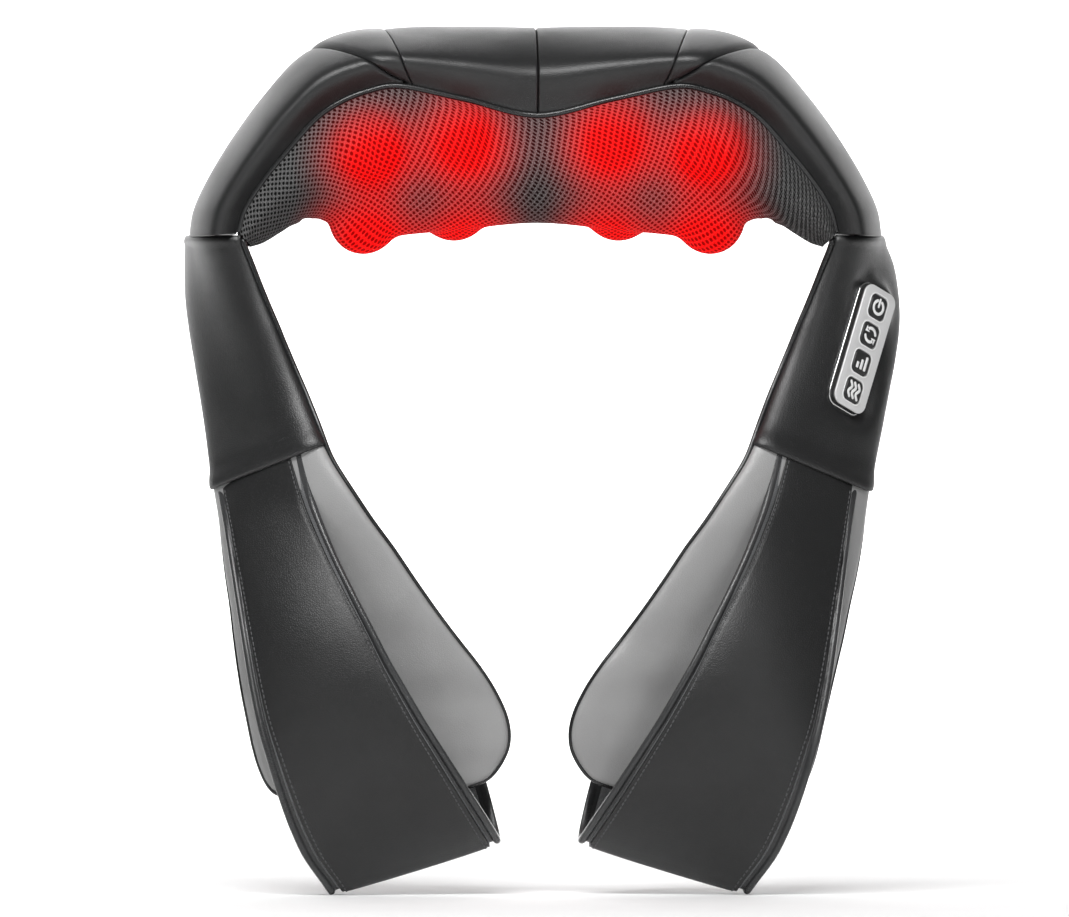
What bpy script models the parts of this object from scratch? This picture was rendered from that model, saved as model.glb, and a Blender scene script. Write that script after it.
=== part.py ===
"""Shiatsu neck and shoulder massager: a horseshoe of padded leather that lies round the neck.

Metres, +Z up, +X to the right of somebody facing the massage mesh, -Y towards them.
The origin is the point of the mesh that the nape rests on.
"""
import math

import bmesh
import bpy
import numpy as np
from mathutils import Matrix, Vector

# ---------------------------------------------------------------- overall sizes
WIDTH = 0.4203            # across both shoulders
HEIGHT = 0.506            # top of the collar to the bottom crease of the hand straps
DEPTH = 0.172             # front of the hand straps to the back of the collar
NAPE_DEPTH = 0.033        # nape point in front of the middle plane of the collar

# ---------------------------------------------------------------- soft goods
LEATHER = 0.0014          # cover leather with its backing
MESH_CLOTH = 0.0012       # knitted spacer mesh over the heads
TENT = 1.9                # slope of the mesh round a node
MESH_LIFT = 0.0042        # air between a node and the cloth over it
COLLAR_FOAM = 0.005       # moulded foam under the collar leather
LAYER_GAP = 0.0024        # room between leather and foam
PIPING_R = 0.0015
STRAP_LEATHER = 0.0013
STRAP_LINING = 0.0010

# ---------------------------------------------------------------- massage heads
HEAD_TOE = math.radians(16.0)     # heads turned in towards the neck
HEAD_DIP = math.radians(37.5)     # heads tipped down
NODE_PHASE = math.radians(10.0)   # stopped angle of the node cross
NODE_PITCH = 0.056 * min(1.0, HEIGHT / 0.506)   # between neighbouring nodes; less in a lower collar
NODE_R = 0.012
NODE_RISE = 0.021                 # node centre above the carrier's mid plane
CARRIER_T = 0.006
HUB_R = 0.020
AXLE_R = 0.003
BORE_PLAY = 0.00005
GAP = 0.0003                      # room between neighbouring pieces

# ---------------------------------------------------------------- worm drive
MODULE = 0.0015
WHEEL_TEETH = 24
WHEEL_R = MODULE * WHEEL_TEETH / 2
WHEEL_FACE = 0.006
WHEEL_BACK = -0.017               # back face of the wheel along the head axis
WORM_R = 0.005
LEAD = math.pi * MODULE
WORM_TURNS = 4
DRIVE_CENTRE = WHEEL_R + WORM_R
MOTOR_R = 0.0095
MOTOR_L = 0.032
CASE_WALL = 0.0022
BAY_HALF = 0.0160                 # half length of the worm's bay
MOTOR_START = 0.0220              # motor face along the worm's line
CASE_R = WHEEL_R + 0.0070
CASE_BEHIND = 0.0070              # case floor behind the wheel
CASE_FRONT = -0.0070              # front rim of the case along the head axis
COVER_T = 0.0018
BOSS_R = 0.0095                   # boss that stands the case on the backbone
HUB_NECK_R = 0.006
AXLE_BEHIND = 0.0136              # axle let into the boss
AXLE_FRONT = 0.0045
LAMP_R = 0.0052

# ---------------------------------------------------------------- control panel
PANEL_L = 0.076
PANEL_W = 0.0276
PANEL_Z = -0.094                  # height of its centre
PANEL_LEAN = math.radians(23.0)   # top leans outwards
PANEL_PROUD = 0.003
BUTTON = 0.0132
BUTTON_PITCH = 0.0176
BUTTON_PLAY = 0.0004
BUTTON_PROUD = 0.0005
JACK_R = 0.006

# ---------------------------------------------------------------- shoulder joint
PIVOT_Z = -0.045                  # height of the line the arms spread about
ARM_CORE_TOP = -0.052

# The outline tables are drawn on a 417.4 x 506 x 172 mm sheet and stretched to the sizes above.
MM = 0.001
SX = WIDTH / 420.3
SY = DEPTH / 172.0
SZ = HEIGHT / 506.0

# Stations along half of the collar, centre seam to shoulder seam.
# columns: outer outline x z, piping x z, piping depth, mesh bottom x z
COLLAR = np.array([
    (0, 95, 0, 43, -30, 0, -18),
    (45, 95, 42, 52, -34, 42, -21),
    (88, 94, 80, 60, -38, 76, -24),
    (118, 88, 100, 57, -38, 95, -25),
    (140, 77, 117, 50, -38, 110, -21),
    (161, 53.5, 131, 40, -36, 124, -15),
    (178, 30, 147, 22, -34, 137, -16),
    (192, 7, 160, 6, -32, 149, -24),
    (201, -12, 171, -11, -30, 160, -31),
    (204, -28, 175.5, -26, -28, 168, -34),
])
# rear edge of the leather x y z, and the back of the collar
REAR = np.array([
    (0, 50, -10, 74), (42, 50, -12, 74), (80, 50, -12, 74), (100, 50, -10, 73), (117, 50, -8, 72),
    (131, 52, -6, 71), (147, 54, -8, 70), (160, 57, -14, 69), (170, 59, -20, 68), (175, 60, -27, 66),
])
STATIONS = len(COLLAR) - 1
SECTION = np.linspace(0.014, 0.996, 11)   # places round the collar's cross-section

# Slices down one arm: height, inner x, outer x, centre depth, true half width, half thickness,
# and how much further out the right sleeve (round the key panel) and the left one swell
ARM = np.array([
    (-30, 174.5, 204.5, 18, 47, 14.0, 2.0, 1.5),
    (-45, 168.5, 208, 14, 45, 13.5, 4.0, -2.0),
    (-63, 161.5, 208.7, 8, 43, 13.0, 5.5, -3.2),
    (-80, 154.2, 208, 1, 41.5, 12.8, 6.0, -4.5),
    (-100, 146, 205.8, -6, 41, 12.5, 5.2, -5.5),
    (-121, 137, 202.4, -14, 42, 12.2, 4.2, -5.5),
    (-142, 128.6, 198.7, -22, 45, 12.0, 3.8, -4.8),
    (-160, 119.7, 195.6, -28, 47.5, 11.5, 3.2, -3.8),
    (-177, 108.8, 192, -34, 50, 11.0, 3.2, -2.6),
    (-194, 97.5, 189.3, -38, 53, 10.5, 3.0, -2.6),
    (-210, 85.6, 187.5, -42, 56, 10.0, 2.2, -2.8),
    (-228, 73.6, 185.2, -45, 59.5, 9.6, 1.0, -2.8),
    (-245, 61.7, 182.2, -47, 63, 9.3, 0.0, -2.4),
    (-262, 49, 179.4, -48.5, 67, 9.0, -0.8, -1.6),
    (-280, 35, 176, -50, 72, 9.0, -1.6, -0.6),
    (-297, 24.5, 172.6, -50, 75, 9.0, -2.2, 0.0),
    (-312, 18.6, 169.6, -50, 76.5, 9.0, -2.6, 0.0),
    (-325, 18.2, 167, -50, 75.5, 9.0, -2.8, 0.0),
    (-336, 23, 164, -50, 71.5, 8.6, -2.8, 0.0),
    (-345, 31, 160.5, -50, 66, 7.6, -2.6, 0.0),
    (-351, 48, 157, -50, 56, 5.6, -2.4, 0.0),
    (-354.5, 70, 153, -50, 42.5, 3.0, -2.2, 0.0),
])
ARM_BULGE = 2.6           # superellipse power of a slice
HEM_INNER = -148.8        # slanting hem of the shoulder cover
HEM_OUTER = -177.0
HEM_X = (125.0, 192.0)    # places of the hem's two ends

# Hand strap, top to crease to the seam behind the arm: inner edge x z y, outer edge x z y, bow
STRAP = np.array([
    (139, -154.5, -47, 187.2, -178.5, -19, 0.0),
    (129.5, -187, -63, 182.8, -203, -35, 2.0),
    (115, -221, -79, 178.6, -230, -50, 5.0),
    (102.3, -245.8, -88, 174.4, -257, -63, 8.0),
    (90, -270, -94.5, 169.8, -287, -74, 8.0),
    (79.7, -288, -97.5, 164.3, -314.6, -83, 6.0),
    (64.7, -313.4, -98, 159, -333.7, -87, 4.0),
    (51.7, -333.5, -95.5, 153.2, -352.8, -87, 3.0),
    (41.7, -349.3, -90, 147.3, -369.3, -83, 2.0),
    (31, -366, -79, 139.7, -387, -75, 1.0),
    (24.5, -376.5, -68, 127.5, -405, -65, 0.0),
    (22.6, -379.3, -60, 123.5, -410.4, -57, 0.0),
    (24.0, -372.5, -50, 128, -400, -44, 0.0),
    (27.5, -358, -42.5, 140, -376, -34, 0.0),
    (31.0, -345, -39.6, 150, -356, -28.5, 0.0),
    (35.0, -330, -39.6, 157, -336, -26.5, 0.0),
])
CREASE = 11               # row of the bottom crease
STRAP_MARGIN = 0.065      # share of the strap's width left as lining at each edge

KIT = bpy.data.collections.new("shiatsu_neck_massager")
CUTTERS = bpy.data.collections.new("cutters")


# ---------------------------------------------------------------- making things
def material(name, colour, rough, metal=0.0):
    mat = bpy.data.materials.new(name)
    mat.use_nodes = True
    shader = mat.node_tree.nodes["Principled BSDF"]
    shader.inputs["Base Color"].default_value = (*colour, 1.0)
    shader.inputs["Roughness"].default_value = rough
    shader.inputs["Metallic"].default_value = metal
    mat.diffuse_color = (*colour, 1.0)
    return mat


def add(name, bm, colour=None, rough=0.5, metal=0.0, smooth=True, closed=True):
    """One object from a bmesh; a name without a colour is a cutter."""
    if closed:
        bmesh.ops.recalc_face_normals(bm, faces=bm.faces[:])
    mesh = bpy.data.meshes.new(name)
    bm.to_mesh(mesh)
    bm.free()
    obj = bpy.data.objects.new(name, mesh)
    if colour is None:
        obj.hide_render = True
        obj.display_type = "WIRE"
        CUTTERS.objects.link(obj)
        return obj
    mesh.materials.append(material(name, colour, rough, metal))
    for face in mesh.polygons:
        face.use_smooth = smooth
    KIT.objects.link(obj)
    return obj


def cut(obj, tool, operation="DIFFERENCE"):
    mod = obj.modifiers.new(tool.name, "BOOLEAN")
    mod.operation = operation
    mod.solver = "EXACT"
    mod.object = tool


def grid_bmesh(points, wrap_cols=False, wrap_rows=False, caps=False):
    """Faces over an array of points (rows, columns, 3)."""
    bm = bmesh.new()
    rows, cols = points.shape[:2]
    verts = [[bm.verts.new(p) for p in line] for line in points]
    for i in range(rows if wrap_rows else rows - 1):
        for j in range(cols if wrap_cols else cols - 1):
            a, b = verts[i], verts[(i + 1) % rows]
            k = (j + 1) % cols
            bm.faces.new((a[j], a[k], b[k], b[j]))
    if caps:
        bm.faces.new(verts[0][::-1])
        bm.faces.new(verts[-1])
    return bm


def panel(name, points, thickness, colour, rough, inside):
    """A sheet of leather or cloth: the outer surface, thickened towards a point inside."""
    bm = grid_bmesh(points)
    bm.normal_update()
    out = sum((f.normal.dot(f.calc_center_median() - Vector(inside)) for f in bm.faces), 0.0)
    if out < 0:
        bmesh.ops.reverse_faces(bm, faces=bm.faces[:])
    obj = add(name, bm, colour, rough, closed=False)
    mod = obj.modifiers.new("leather", "SOLIDIFY")
    mod.thickness = thickness
    mod.offset = -1.0
    return obj


def cylinder(name, frame, radius, low, high, colour=None, rough=0.4, metal=0.0, sides=24):
    """A round bar along the frame's own z, from low to high."""
    bm = bmesh.new()
    bmesh.ops.create_cone(
        bm, cap_ends=True, segments=sides, radius1=radius, radius2=radius, depth=high - low,
        matrix=frame @ Matrix.Translation((0, 0, (low + high) / 2)))
    return add(name, bm, colour, rough, metal)


def block(name, frame, low, high, colour=None, rough=0.5):
    """A box between two corners of the frame."""
    bm = bmesh.new()
    size = [h - l for l, h in zip(low, high)]
    mid = [(h + l) / 2 for l, h in zip(low, high)]
    bmesh.ops.create_cube(
        bm, size=1.0, matrix=frame @ Matrix.Translation(mid) @ Matrix.Diagonal((*size, 1)))
    return add(name, bm, colour, rough)


def rounded_plate(name, frame, wide, tall, corner, low, high, colour=None, rough=0.4, metal=0.0):
    """A plate with rounded corners: wide along x, tall along y, low to high along z."""
    outline = []
    for turn in range(4):
        cx = (wide / 2 - corner) * (1, -1, -1, 1)[turn]
        cy = (tall / 2 - corner) * (1, 1, -1, -1)[turn]
        for step in range(4):
            a = math.radians(90 * turn + 30 * step)
            outline.append((cx + corner * math.cos(a), cy + corner * math.sin(a)))
    rings = [[frame @ Vector((x, y, z)) for x, y in outline] for z in (low, high)]
    bm = grid_bmesh(np.array([[tuple(p) for p in ring] for ring in rings]), True, caps=True)
    return add(name, bm, colour, rough, metal, smooth=False)


def cord(name, path, radius, colour, rough, sides=6):
    """A round cord along a row of points, swept as a tube with closed ends."""
    path = np.asarray(path)
    along = np.gradient(path, axis=0)
    along /= np.linalg.norm(along, axis=1)[:, None]
    side = np.cross(along, (0.0, 1.0, 0.0))
    side /= np.linalg.norm(side, axis=1)[:, None]
    up = np.cross(side, along)
    turn = np.arange(sides) * 2 * np.pi / sides
    ring = side[:, None] * np.cos(turn)[None, :, None] + up[:, None] * np.sin(turn)[None, :, None]
    return add(name, grid_bmesh(path[:, None] + radius * ring, True, caps=True), colour, rough)


# ---------------------------------------------------------------- smooth tables
def through(table, t):
    """Catmull-Rom curve through the rows of a table, at places t counted in rows."""
    table = np.asarray(table, float)
    t = np.clip(np.asarray(t, float), 0, len(table) - 1 - 1e-9)
    i = t.astype(int)
    f = (t - i)[..., None]
    ends = np.concatenate([[2 * table[0] - table[1]], table, [2 * table[-1] - table[-2]]])
    a, b, c, d = ends[i], ends[i + 1], ends[i + 2], ends[i + 3]
    return b + f * (c - a) / 2 + f ** 2 * (a - 2.5 * b + 2 * c - d / 2) + f ** 3 * (
        1.5 * (b - c) + (d - a) / 2)


def even(points, first, last, count, spread=None):
    """Points at even steps along a polyline, leaving first and last metres off its ends."""
    steps = np.r_[0, np.cumsum(np.linalg.norm(np.diff(points, axis=0), axis=1))]
    at = first + (steps[-1] - first - last) * (np.linspace(0, 1, count) if spread is None else spread)
    return np.stack([np.interp(at, steps, points[:, k]) for k in range(3)], axis=1)


def mirrored(table, columns):
    """A half table run out to both sides of the centre, with the named columns changing sign."""
    sign = np.ones(table.shape[1])
    sign[columns] = -1
    return np.concatenate([(table * sign)[:0:-1], table])


WHOLE = mirrored(COLLAR, [0, 2, 5])
WHOLE_REAR = mirrored(REAR, [0])


def space(x, y, z):
    """Sheet millimetres to metres in the part's frame."""
    return np.stack([x * SX, y * SY + NAPE_DEPTH, z * SZ], axis=-1)


def leather_line(u):
    """Cross-section of the collar leather at station u: piping, over the top, rear edge."""
    ox, oz, fx, fz, fy = through(WHOLE, u + STATIONS)[:5]
    rx, ry, rz, back = through(WHOLE_REAR, u + STATIONS)
    knots = np.array([
        (fx, fy, fz),
        (fx + 0.55 * (ox - fx), fy - 7, fz + 0.55 * (oz - fz)),
        (ox, 15, oz),
        (rx + 0.78 * (ox - rx), back - 8, rz + 0.78 * (oz - rz)),
        (rx + 0.38 * (ox - rx), back, rz + 0.38 * (oz - rz)),
        (rx, ry, rz),
    ])
    line = through(knots, np.linspace(0, 5, 61))
    return space(line[:, 0], line[:, 1], line[:, 2])


def mesh_line(u):
    """Cross-section of the mesh at station u: piping, front, underside, rear edge."""
    fx, fz, fy, ix, iz = through(WHOLE, u + STATIONS)[2:7]
    rx, ry, rz, _ = through(WHOLE_REAR, u + STATIONS)
    knots = np.array([
        (fx, fy, fz),
        (fx + 0.5 * (ix - fx), fy - 4, fz + 0.52 * (iz - fz)),
        (ix, fy + 16, iz),
        (ix + 0.4 * (rx - ix), 0.5 * (fy + 16 + ry), iz + 0.12 * (rz - iz)),
        (rx, ry, rz),
    ])
    line = through(knots, np.linspace(0, 4, 49))
    return space(line[:, 0], line[:, 1], line[:, 2])


def collar_surface(stations, share, inset=0.0):
    """Points of the collar leather: stations (columns) and shares of the section (rows)."""
    dense_u = np.linspace(-STATIONS, STATIONS, 145)
    lines = np.array([even(leather_line(u), 0, 0, 61) for u in dense_u])
    across = np.gradient(lines, axis=0)
    down = np.gradient(lines, axis=1)
    normal = np.cross(across, down)
    normal /= np.linalg.norm(normal, axis=2)[..., None]
    normal *= np.sign(normal[72, 20, 2])
    lines = lines - inset * normal
    iu = (np.asarray(stations) + STATIONS) / (2 * STATIONS) * 144
    iv = np.asarray(share) * 60
    i = np.clip(iu.astype(int), 0, 143)
    j = np.clip(iv.astype(int), 0, 59)
    fu = (iu - i)[..., None]
    fv = (iv - j)[..., None]
    return ((1 - fu) * (1 - fv) * lines[i, j] + fu * (1 - fv) * lines[i + 1, j]
            + (1 - fu) * fv * lines[i, j + 1] + fu * fv * lines[i + 1, j + 1])


# ---------------------------------------------------------------- arm slices
def arm_surface(theta, height, inset=0.0, side=1):
    """Points of an arm's skin. theta 0 is the inner edge, pi/2 the front, pi the outer edge.

    At the shoulder the front edge is drawn across to the inner side, where the piping runs.
    """
    theta = np.asarray(theta, float)
    height = np.asarray(height, float)
    at = np.interp(-height, -ARM[:, 0], np.arange(len(ARM)))
    _, inner, outer, mid, wide, thick, right, left = np.moveaxis(through(ARM, at), -1, 0)
    outer = outer + (right if side > 0 else left)
    inset = 1000 * np.asarray(inset)
    thick = np.maximum(thick - inset, 0.8)
    reach = (outer - inner) / 2 - inset
    wide = np.maximum(wide - inset, reach + 0.2)
    lean = np.clip((reach ** 2 - thick ** 2) / (wide ** 2 - thick ** 2), 0.0, 0.995)
    c, s = np.sqrt(lean), np.sqrt(1 - lean)
    power = 2 / ARM_BULGE
    p = -np.sign(np.cos(theta)) * np.abs(np.cos(theta)) ** power * wide
    q = np.sign(np.sin(theta)) * np.abs(np.sin(theta)) ** power * thick
    x = c * p + s * q
    y = mid + s * p - c * q
    around = np.linspace(0, 2 * np.pi, 73)
    far = np.abs(np.cos(around)) ** power * wide[..., None] * np.sign(np.cos(around)) * c[..., None]
    far = far + np.abs(np.sin(around)) ** power * thick[..., None] * np.sign(np.sin(around)) * s[..., None]
    fit = reach / far.max(axis=-1)
    near = np.exp(-(np.angle(np.exp(1j * theta)) / 0.8) ** 2)
    x = np.maximum(x * fit - (reach - c * wide * fit) * near, -reach)
    return space((inner + outer) / 2 + x, y, height)


def arm_face(xs, zs, way, side):
    """Sheet depth of an arm's front (1) or back (-1) face at places xs, zs of the sheet."""
    around = way * np.linspace(0.0, np.pi, 61)
    depth = np.zeros(xs.shape)
    for k in np.ndindex(xs.shape):
        skin = arm_surface(around, np.full(61, zs[k]), 0.0, side)
        depth[k] = np.interp(xs[k], skin[:, 0] / SX, (skin[:, 1] - NAPE_DEPTH) / SY)
    return depth


def hem(theta, side):
    """Height of the shoulder cover's hem round the arm: a straight slant seen from the front."""
    height = HEM_INNER + (HEM_OUTER - HEM_INNER) * (1 - np.cos(theta)) / 2
    for _ in range(4):
        x = arm_surface(theta, height, 0.0, side)[..., 0] / SX
        height = np.interp(x, HEM_X, (HEM_INNER, HEM_OUTER))
    return height


def sided(points, side):
    """The same points on the right (1) or left (-1)."""
    return np.asarray(points) * (side, 1, 1)


# ---------------------------------------------------------------- head frame
AXIS = np.array([
    -math.sin(HEAD_TOE),
    -math.cos(HEAD_TOE) * math.cos(HEAD_DIP),
    -math.cos(HEAD_TOE) * math.sin(HEAD_DIP),
])
INWARD = np.array([AXIS[1], -AXIS[0], 0]) / math.hypot(AXIS[0], AXIS[1])
UPWARD = np.cross(INWARD, AXIS)
RING = space(73.2, -23.0, 3.4)                  # middle of the four node centres
HEAD = RING - NODE_RISE * AXIS                   # middle of the node carrier


def head_frame(side):
    """x up the head, y towards the neck, z out through the nodes."""
    frame = Matrix([(UPWARD[k], INWARD[k], AXIS[k], HEAD[k]) for k in range(3)] + [(0, 0, 0, 1)])
    return Matrix.Diagonal((side, 1, 1, 1)) @ frame


def node_spots():
    """Node centres in the carrier's plane, as named corners."""
    h = NODE_PITCH / 2
    spots = {}
    for name, a, b in (("upper_outer", -h, h), ("upper_inner", h, h),
                       ("lower_outer", -h, -h), ("lower_inner", h, -h)):
        c, s = math.cos(NODE_PHASE), math.sin(NODE_PHASE)
        spots[name] = (a * s + b * c, a * c - b * s)
    return spots


def ring_body(name, frame, rings, colour, rough, metal=0.0, smooth=True):
    """A body with a hole: closed outlines joined in a loop."""
    points = np.array([[tuple(frame @ Vector(p)) for p in ring] for ring in rings])
    return add(name, grid_bmesh(points, True, True), colour, rough, metal, smooth)


def circle(radius, z, count):
    return [(radius * math.cos(k * 2 * math.pi / count), radius * math.sin(k * 2 * math.pi / count), z)
            for k in range(count)]


def node_carrier(name, frame):
    """Four-armed carrier plate with rounded arm ends and a hub down to the worm wheel."""
    arms = NODE_PITCH / math.sqrt(2)
    outline = []
    for k in range(40):
        a = k * 2 * math.pi / 40
        lobe = abs(math.sin(2 * (a + NODE_PHASE)))
        outline.append((a, HUB_R + (arms + 0.0065 - HUB_R) * lobe ** 5))
    half = CARRIER_T / 2
    bore = AXLE_R + BORE_PLAY
    hub = WHEEL_BACK + WHEEL_FACE + GAP
    rings = [circle(bore, hub, 40), circle(HUB_NECK_R, hub, 40), circle(HUB_NECK_R, -half, 40)]
    rings.append([(r * math.cos(a), r * math.sin(a), -half) for a, r in outline])
    rings.append([(r * math.cos(a), r * math.sin(a), half) for a, r in outline])
    rings.append(circle(bore, half, 40))
    ring_body(name, frame, rings, (0.08, 0.08, 0.09), 0.45, smooth=False)


def massage_node(name, frame, x, y):
    """Ball node on a short neck, turned from one profile."""
    foot = CARRIER_T / 2 + GAP
    profile = [(0.0065, foot), (0.0065, 0.0095)]
    for step in range(1, 6):
        a = math.radians(-42 + step * 26.4)
        profile.append((NODE_R * math.cos(a), NODE_RISE + NODE_R * math.sin(a)))
    rings = [[(x + r * math.cos(k * math.pi / 6), y + r * math.sin(k * math.pi / 6), z)
              for k in range(12)] for r, z in profile]
    top = NODE_RISE + NODE_R
    points = np.array([[tuple(frame @ Vector(p)) for p in ring] for ring in rings])
    bm = grid_bmesh(points, True)
    rows = list(bm.verts)
    bm.faces.new(rows[:12][::-1])
    peak = bm.verts.new(frame @ Vector((x, y, top)))
    last = rows[-12:]
    for k in range(12):
        bm.faces.new((last[k], last[(k + 1) % 12], peak))
    add(name, bm, (0.10, 0.02, 0.02), 0.5)


def worm_wheel(name, frame):
    """Spur-cut worm wheel, one tooth pointing at the worm."""
    tip, root = WHEEL_R + 0.0013, WHEEL_R - 0.0019
    outline = []
    for tooth in range(WHEEL_TEETH):
        mid = tooth * 2 * math.pi / WHEEL_TEETH
        for off, r in ((-0.0012, root), (-0.0004, tip), (0.0004, tip), (0.0012, root)):
            outline.append((mid + off / WHEEL_R, r))
    top = WHEEL_BACK + WHEEL_FACE
    bore = AXLE_R + BORE_PLAY

    def round_ring(radius, z):
        return [(radius * math.cos(a), radius * math.sin(a), z) for a, _ in outline]
    rings = [round_ring(bore, WHEEL_BACK)]
    rings.append([(r * math.cos(a), r * math.sin(a), WHEEL_BACK) for a, r in outline])
    rings.append([(r * math.cos(a), r * math.sin(a), top) for a, r in outline])
    rings.append(round_ring(bore, top))
    ring_body(name, frame, rings, (0.85, 0.83, 0.76), 0.45, smooth=False)


def worm(name, side):
    """Single-start worm lying along the head's y, its thread gap facing the wheel's top tooth."""
    cols = 12
    tip, root = WORM_R + 0.0013, WORM_R - 0.0016
    profile = ((-0.00100, root), (-0.00042, tip), (0.00042, tip), (0.00100, root))
    start = LEAD * 0.75 - LEAD * (WORM_TURNS // 2 + 1)
    middle = (DRIVE_CENTRE, 0.0, WHEEL_BACK + WHEEL_FACE / 2)
    frame = head_frame(side)
    rows = 4 * WORM_TURNS
    bm = bmesh.new()
    verts = []
    for i in range(cols):
        line = []
        for j in range(rows):
            off, r = profile[j % 4]
            if j < 4 or j >= rows - 4:
                r = root
            s = start + LEAD * (j // 4 + i / cols) + off
            a = i * 2 * math.pi / cols
            spot = (middle[0] + r * math.sin(a), s, middle[2] + r * math.cos(a))
            line.append(bm.verts.new(frame @ Vector(spot)))
        verts.append(line)
    for i in range(cols - 1):
        for j in range(rows - 1):
            bm.faces.new((verts[i][j], verts[i][j + 1], verts[i + 1][j + 1], verts[i + 1][j]))
    for j in range(rows - 5):
        bm.faces.new((verts[-1][j], verts[-1][j + 1], verts[0][j + 5], verts[0][j + 4]))
    low = [verts[i][0] for i in range(cols)] + [verts[0][k] for k in (4, 3, 2, 1)]
    high = [verts[i][-1] for i in range(cols)] + [verts[-1][rows - k] for k in (2, 3, 4, 5)]
    ends = start - 0.0022, start + LEAD * WORM_TURNS + 0.0022
    for loop, s in zip((low, high), ends):
        tip_vert = bm.verts.new(frame @ Vector((middle[0], s, middle[2])))
        for k, vert in enumerate(loop):
            bm.faces.new((vert, loop[(k + 1) % len(loop)], tip_vert))
    obj = add(name, bm, (0.72, 0.70, 0.66), 0.3, 0.9, smooth=False)
    along = frame @ Matrix.Translation(middle) @ Matrix.Rotation(-math.pi / 2, 4, "X")
    shaft = cylinder(name + "_shaft", along, 0.0015, ends[0] - 0.0001, MOTOR_START - GAP, sides=12)
    cut(obj, shaft, "UNION")


def drive(side, label):
    """Everything on one head's axis: carrier, nodes, wheel, worm, motor, case, axle and lamp."""
    frame = head_frame(side)
    node_carrier("head_carrier_" + label, frame)
    for corner, (x, y) in node_spots().items():
        massage_node(f"node_{corner}_{label}", frame, x, y)
    worm_wheel("worm_wheel_" + label, frame)
    worm("worm_" + label, side)
    back = WHEEL_BACK - CASE_BEHIND
    reach = DRIVE_CENTRE + 0.0098
    bay_end = MOTOR_START - GAP
    case = cylinder("gearbox_case_" + label, frame, CASE_R, back, CASE_FRONT, (0.20, 0.20, 0.21),
                    sides=32)
    cut(case, block("case_bay_" + label, frame, (0.0, -BAY_HALF, back + 0.0006),
                    (reach, bay_end, CASE_FRONT - 0.0004)), "UNION")
    cut(case, cylinder("case_boss_" + label, frame, BOSS_R, back - 0.045, back + 0.001, sides=20),
        "UNION")
    cut(case, block("case_trim_" + label, Matrix.Identity(4), (-1, BACKBONE_Y - GAP, -1), (1, 1, 1)))
    cut(case, cylinder("case_room_" + label, frame, WHEEL_R + 0.0045, back + CASE_WALL, 0.02,
                       sides=32))
    cut(case, block("case_bay_room_" + label, frame,
                    (0.001, CASE_WALL - BAY_HALF, back + CASE_WALL + 0.0006),
                    (reach - CASE_WALL, BAY_HALF - CASE_WALL, 0.02)))
    worm_line = frame @ Matrix.Translation((DRIVE_CENTRE, 0, WHEEL_BACK + WHEEL_FACE / 2))
    worm_line = worm_line @ Matrix.Rotation(-math.pi / 2, 4, "X")
    cut(case, cylinder("case_shaft_hole_" + label, worm_line, 0.0022, 0.010, 0.030, sides=12))
    cut(case, cylinder("case_axle_hole_" + label, frame, AXLE_R + 0.0004, back - 0.014, 0.0, sides=24))
    low, high = CASE_FRONT + GAP, CASE_FRONT + GAP + COVER_T
    cover = cylinder("gearbox_cover_" + label, frame, CASE_R, low, high, (0.24, 0.24, 0.25), sides=32)
    cut(cover, block("cover_bay_" + label, frame, (0.0, -BAY_HALF, low + 0.0001),
                     (reach, bay_end, high - 0.0001)), "UNION")
    cut(cover, cylinder("cover_hole_" + label, frame, HUB_NECK_R + 0.0012, -0.02, 0.0, sides=24))
    cylinder("motor_" + label, worm_line, MOTOR_R, MOTOR_START, MOTOR_START + MOTOR_L,
             (0.62, 0.63, 0.65), 0.35, 0.9)
    cylinder("head_axle_" + label, frame, AXLE_R, back - AXLE_BEHIND, AXLE_FRONT,
             (0.75, 0.75, 0.77), 0.25, 1.0, sides=24)
    lamp = cylinder("heat_lamp_" + label, frame, LAMP_R, AXLE_FRONT + GAP, 0.0110, (0.9, 0.05, 0.04),
                    0.2, sides=16)
    bevel = lamp.modifiers.new("dome", "BEVEL")
    bevel.width = 0.0028
    bevel.segments = 2
    bevel.limit_method = "ANGLE"


# ---------------------------------------------------------------- collar
def collar_panels(side, label):
    """Centre cover, corner gusset and side cover of one half of the collar."""
    rows = (SECTION - SECTION[0]) / (SECTION[-1] - SECTION[0])
    fold = np.minimum(1.0, rows / 0.42) ** 0.62
    first = 1.80 + 0.28 * fold
    second = 1.94 + 1.81 * fold
    spans = (
        ("neck_cover_center_", 0 * first + 0.008, first - 0.020, 5),
        ("corner_gusset_", first, second, 4),
        ("side_cover_", second + 0.052, 0 * first + STATIONS, 11),
    )
    for name, start, stop, count in spans:
        across = np.linspace(0, 1, count)[None, :]
        u = start[:, None] * (1 - across) + stop[:, None] * across
        v = SECTION[:, None] + 0 * u
        points = sided(collar_surface(u, v), side)
        panel(name + label, points, LEATHER, (0.045, 0.045, 0.05), 0.42, (0, 0.045, 0.02))


def neck_foam():
    """Moulded foam that gives the collar its shape, under all of the leather."""
    u = np.linspace(-STATIONS + 0.12, STATIONS - 0.12, 29)[None, :]
    v = SECTION[2:-1, None]
    inset = LEATHER + LAYER_GAP
    points = collar_surface(u + 0 * v, v + 0 * u, inset)
    panel("neck_foam", points, COLLAR_FOAM, (0.75, 0.72, 0.55), 0.9, (0, 0.045, 0.02))


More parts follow.
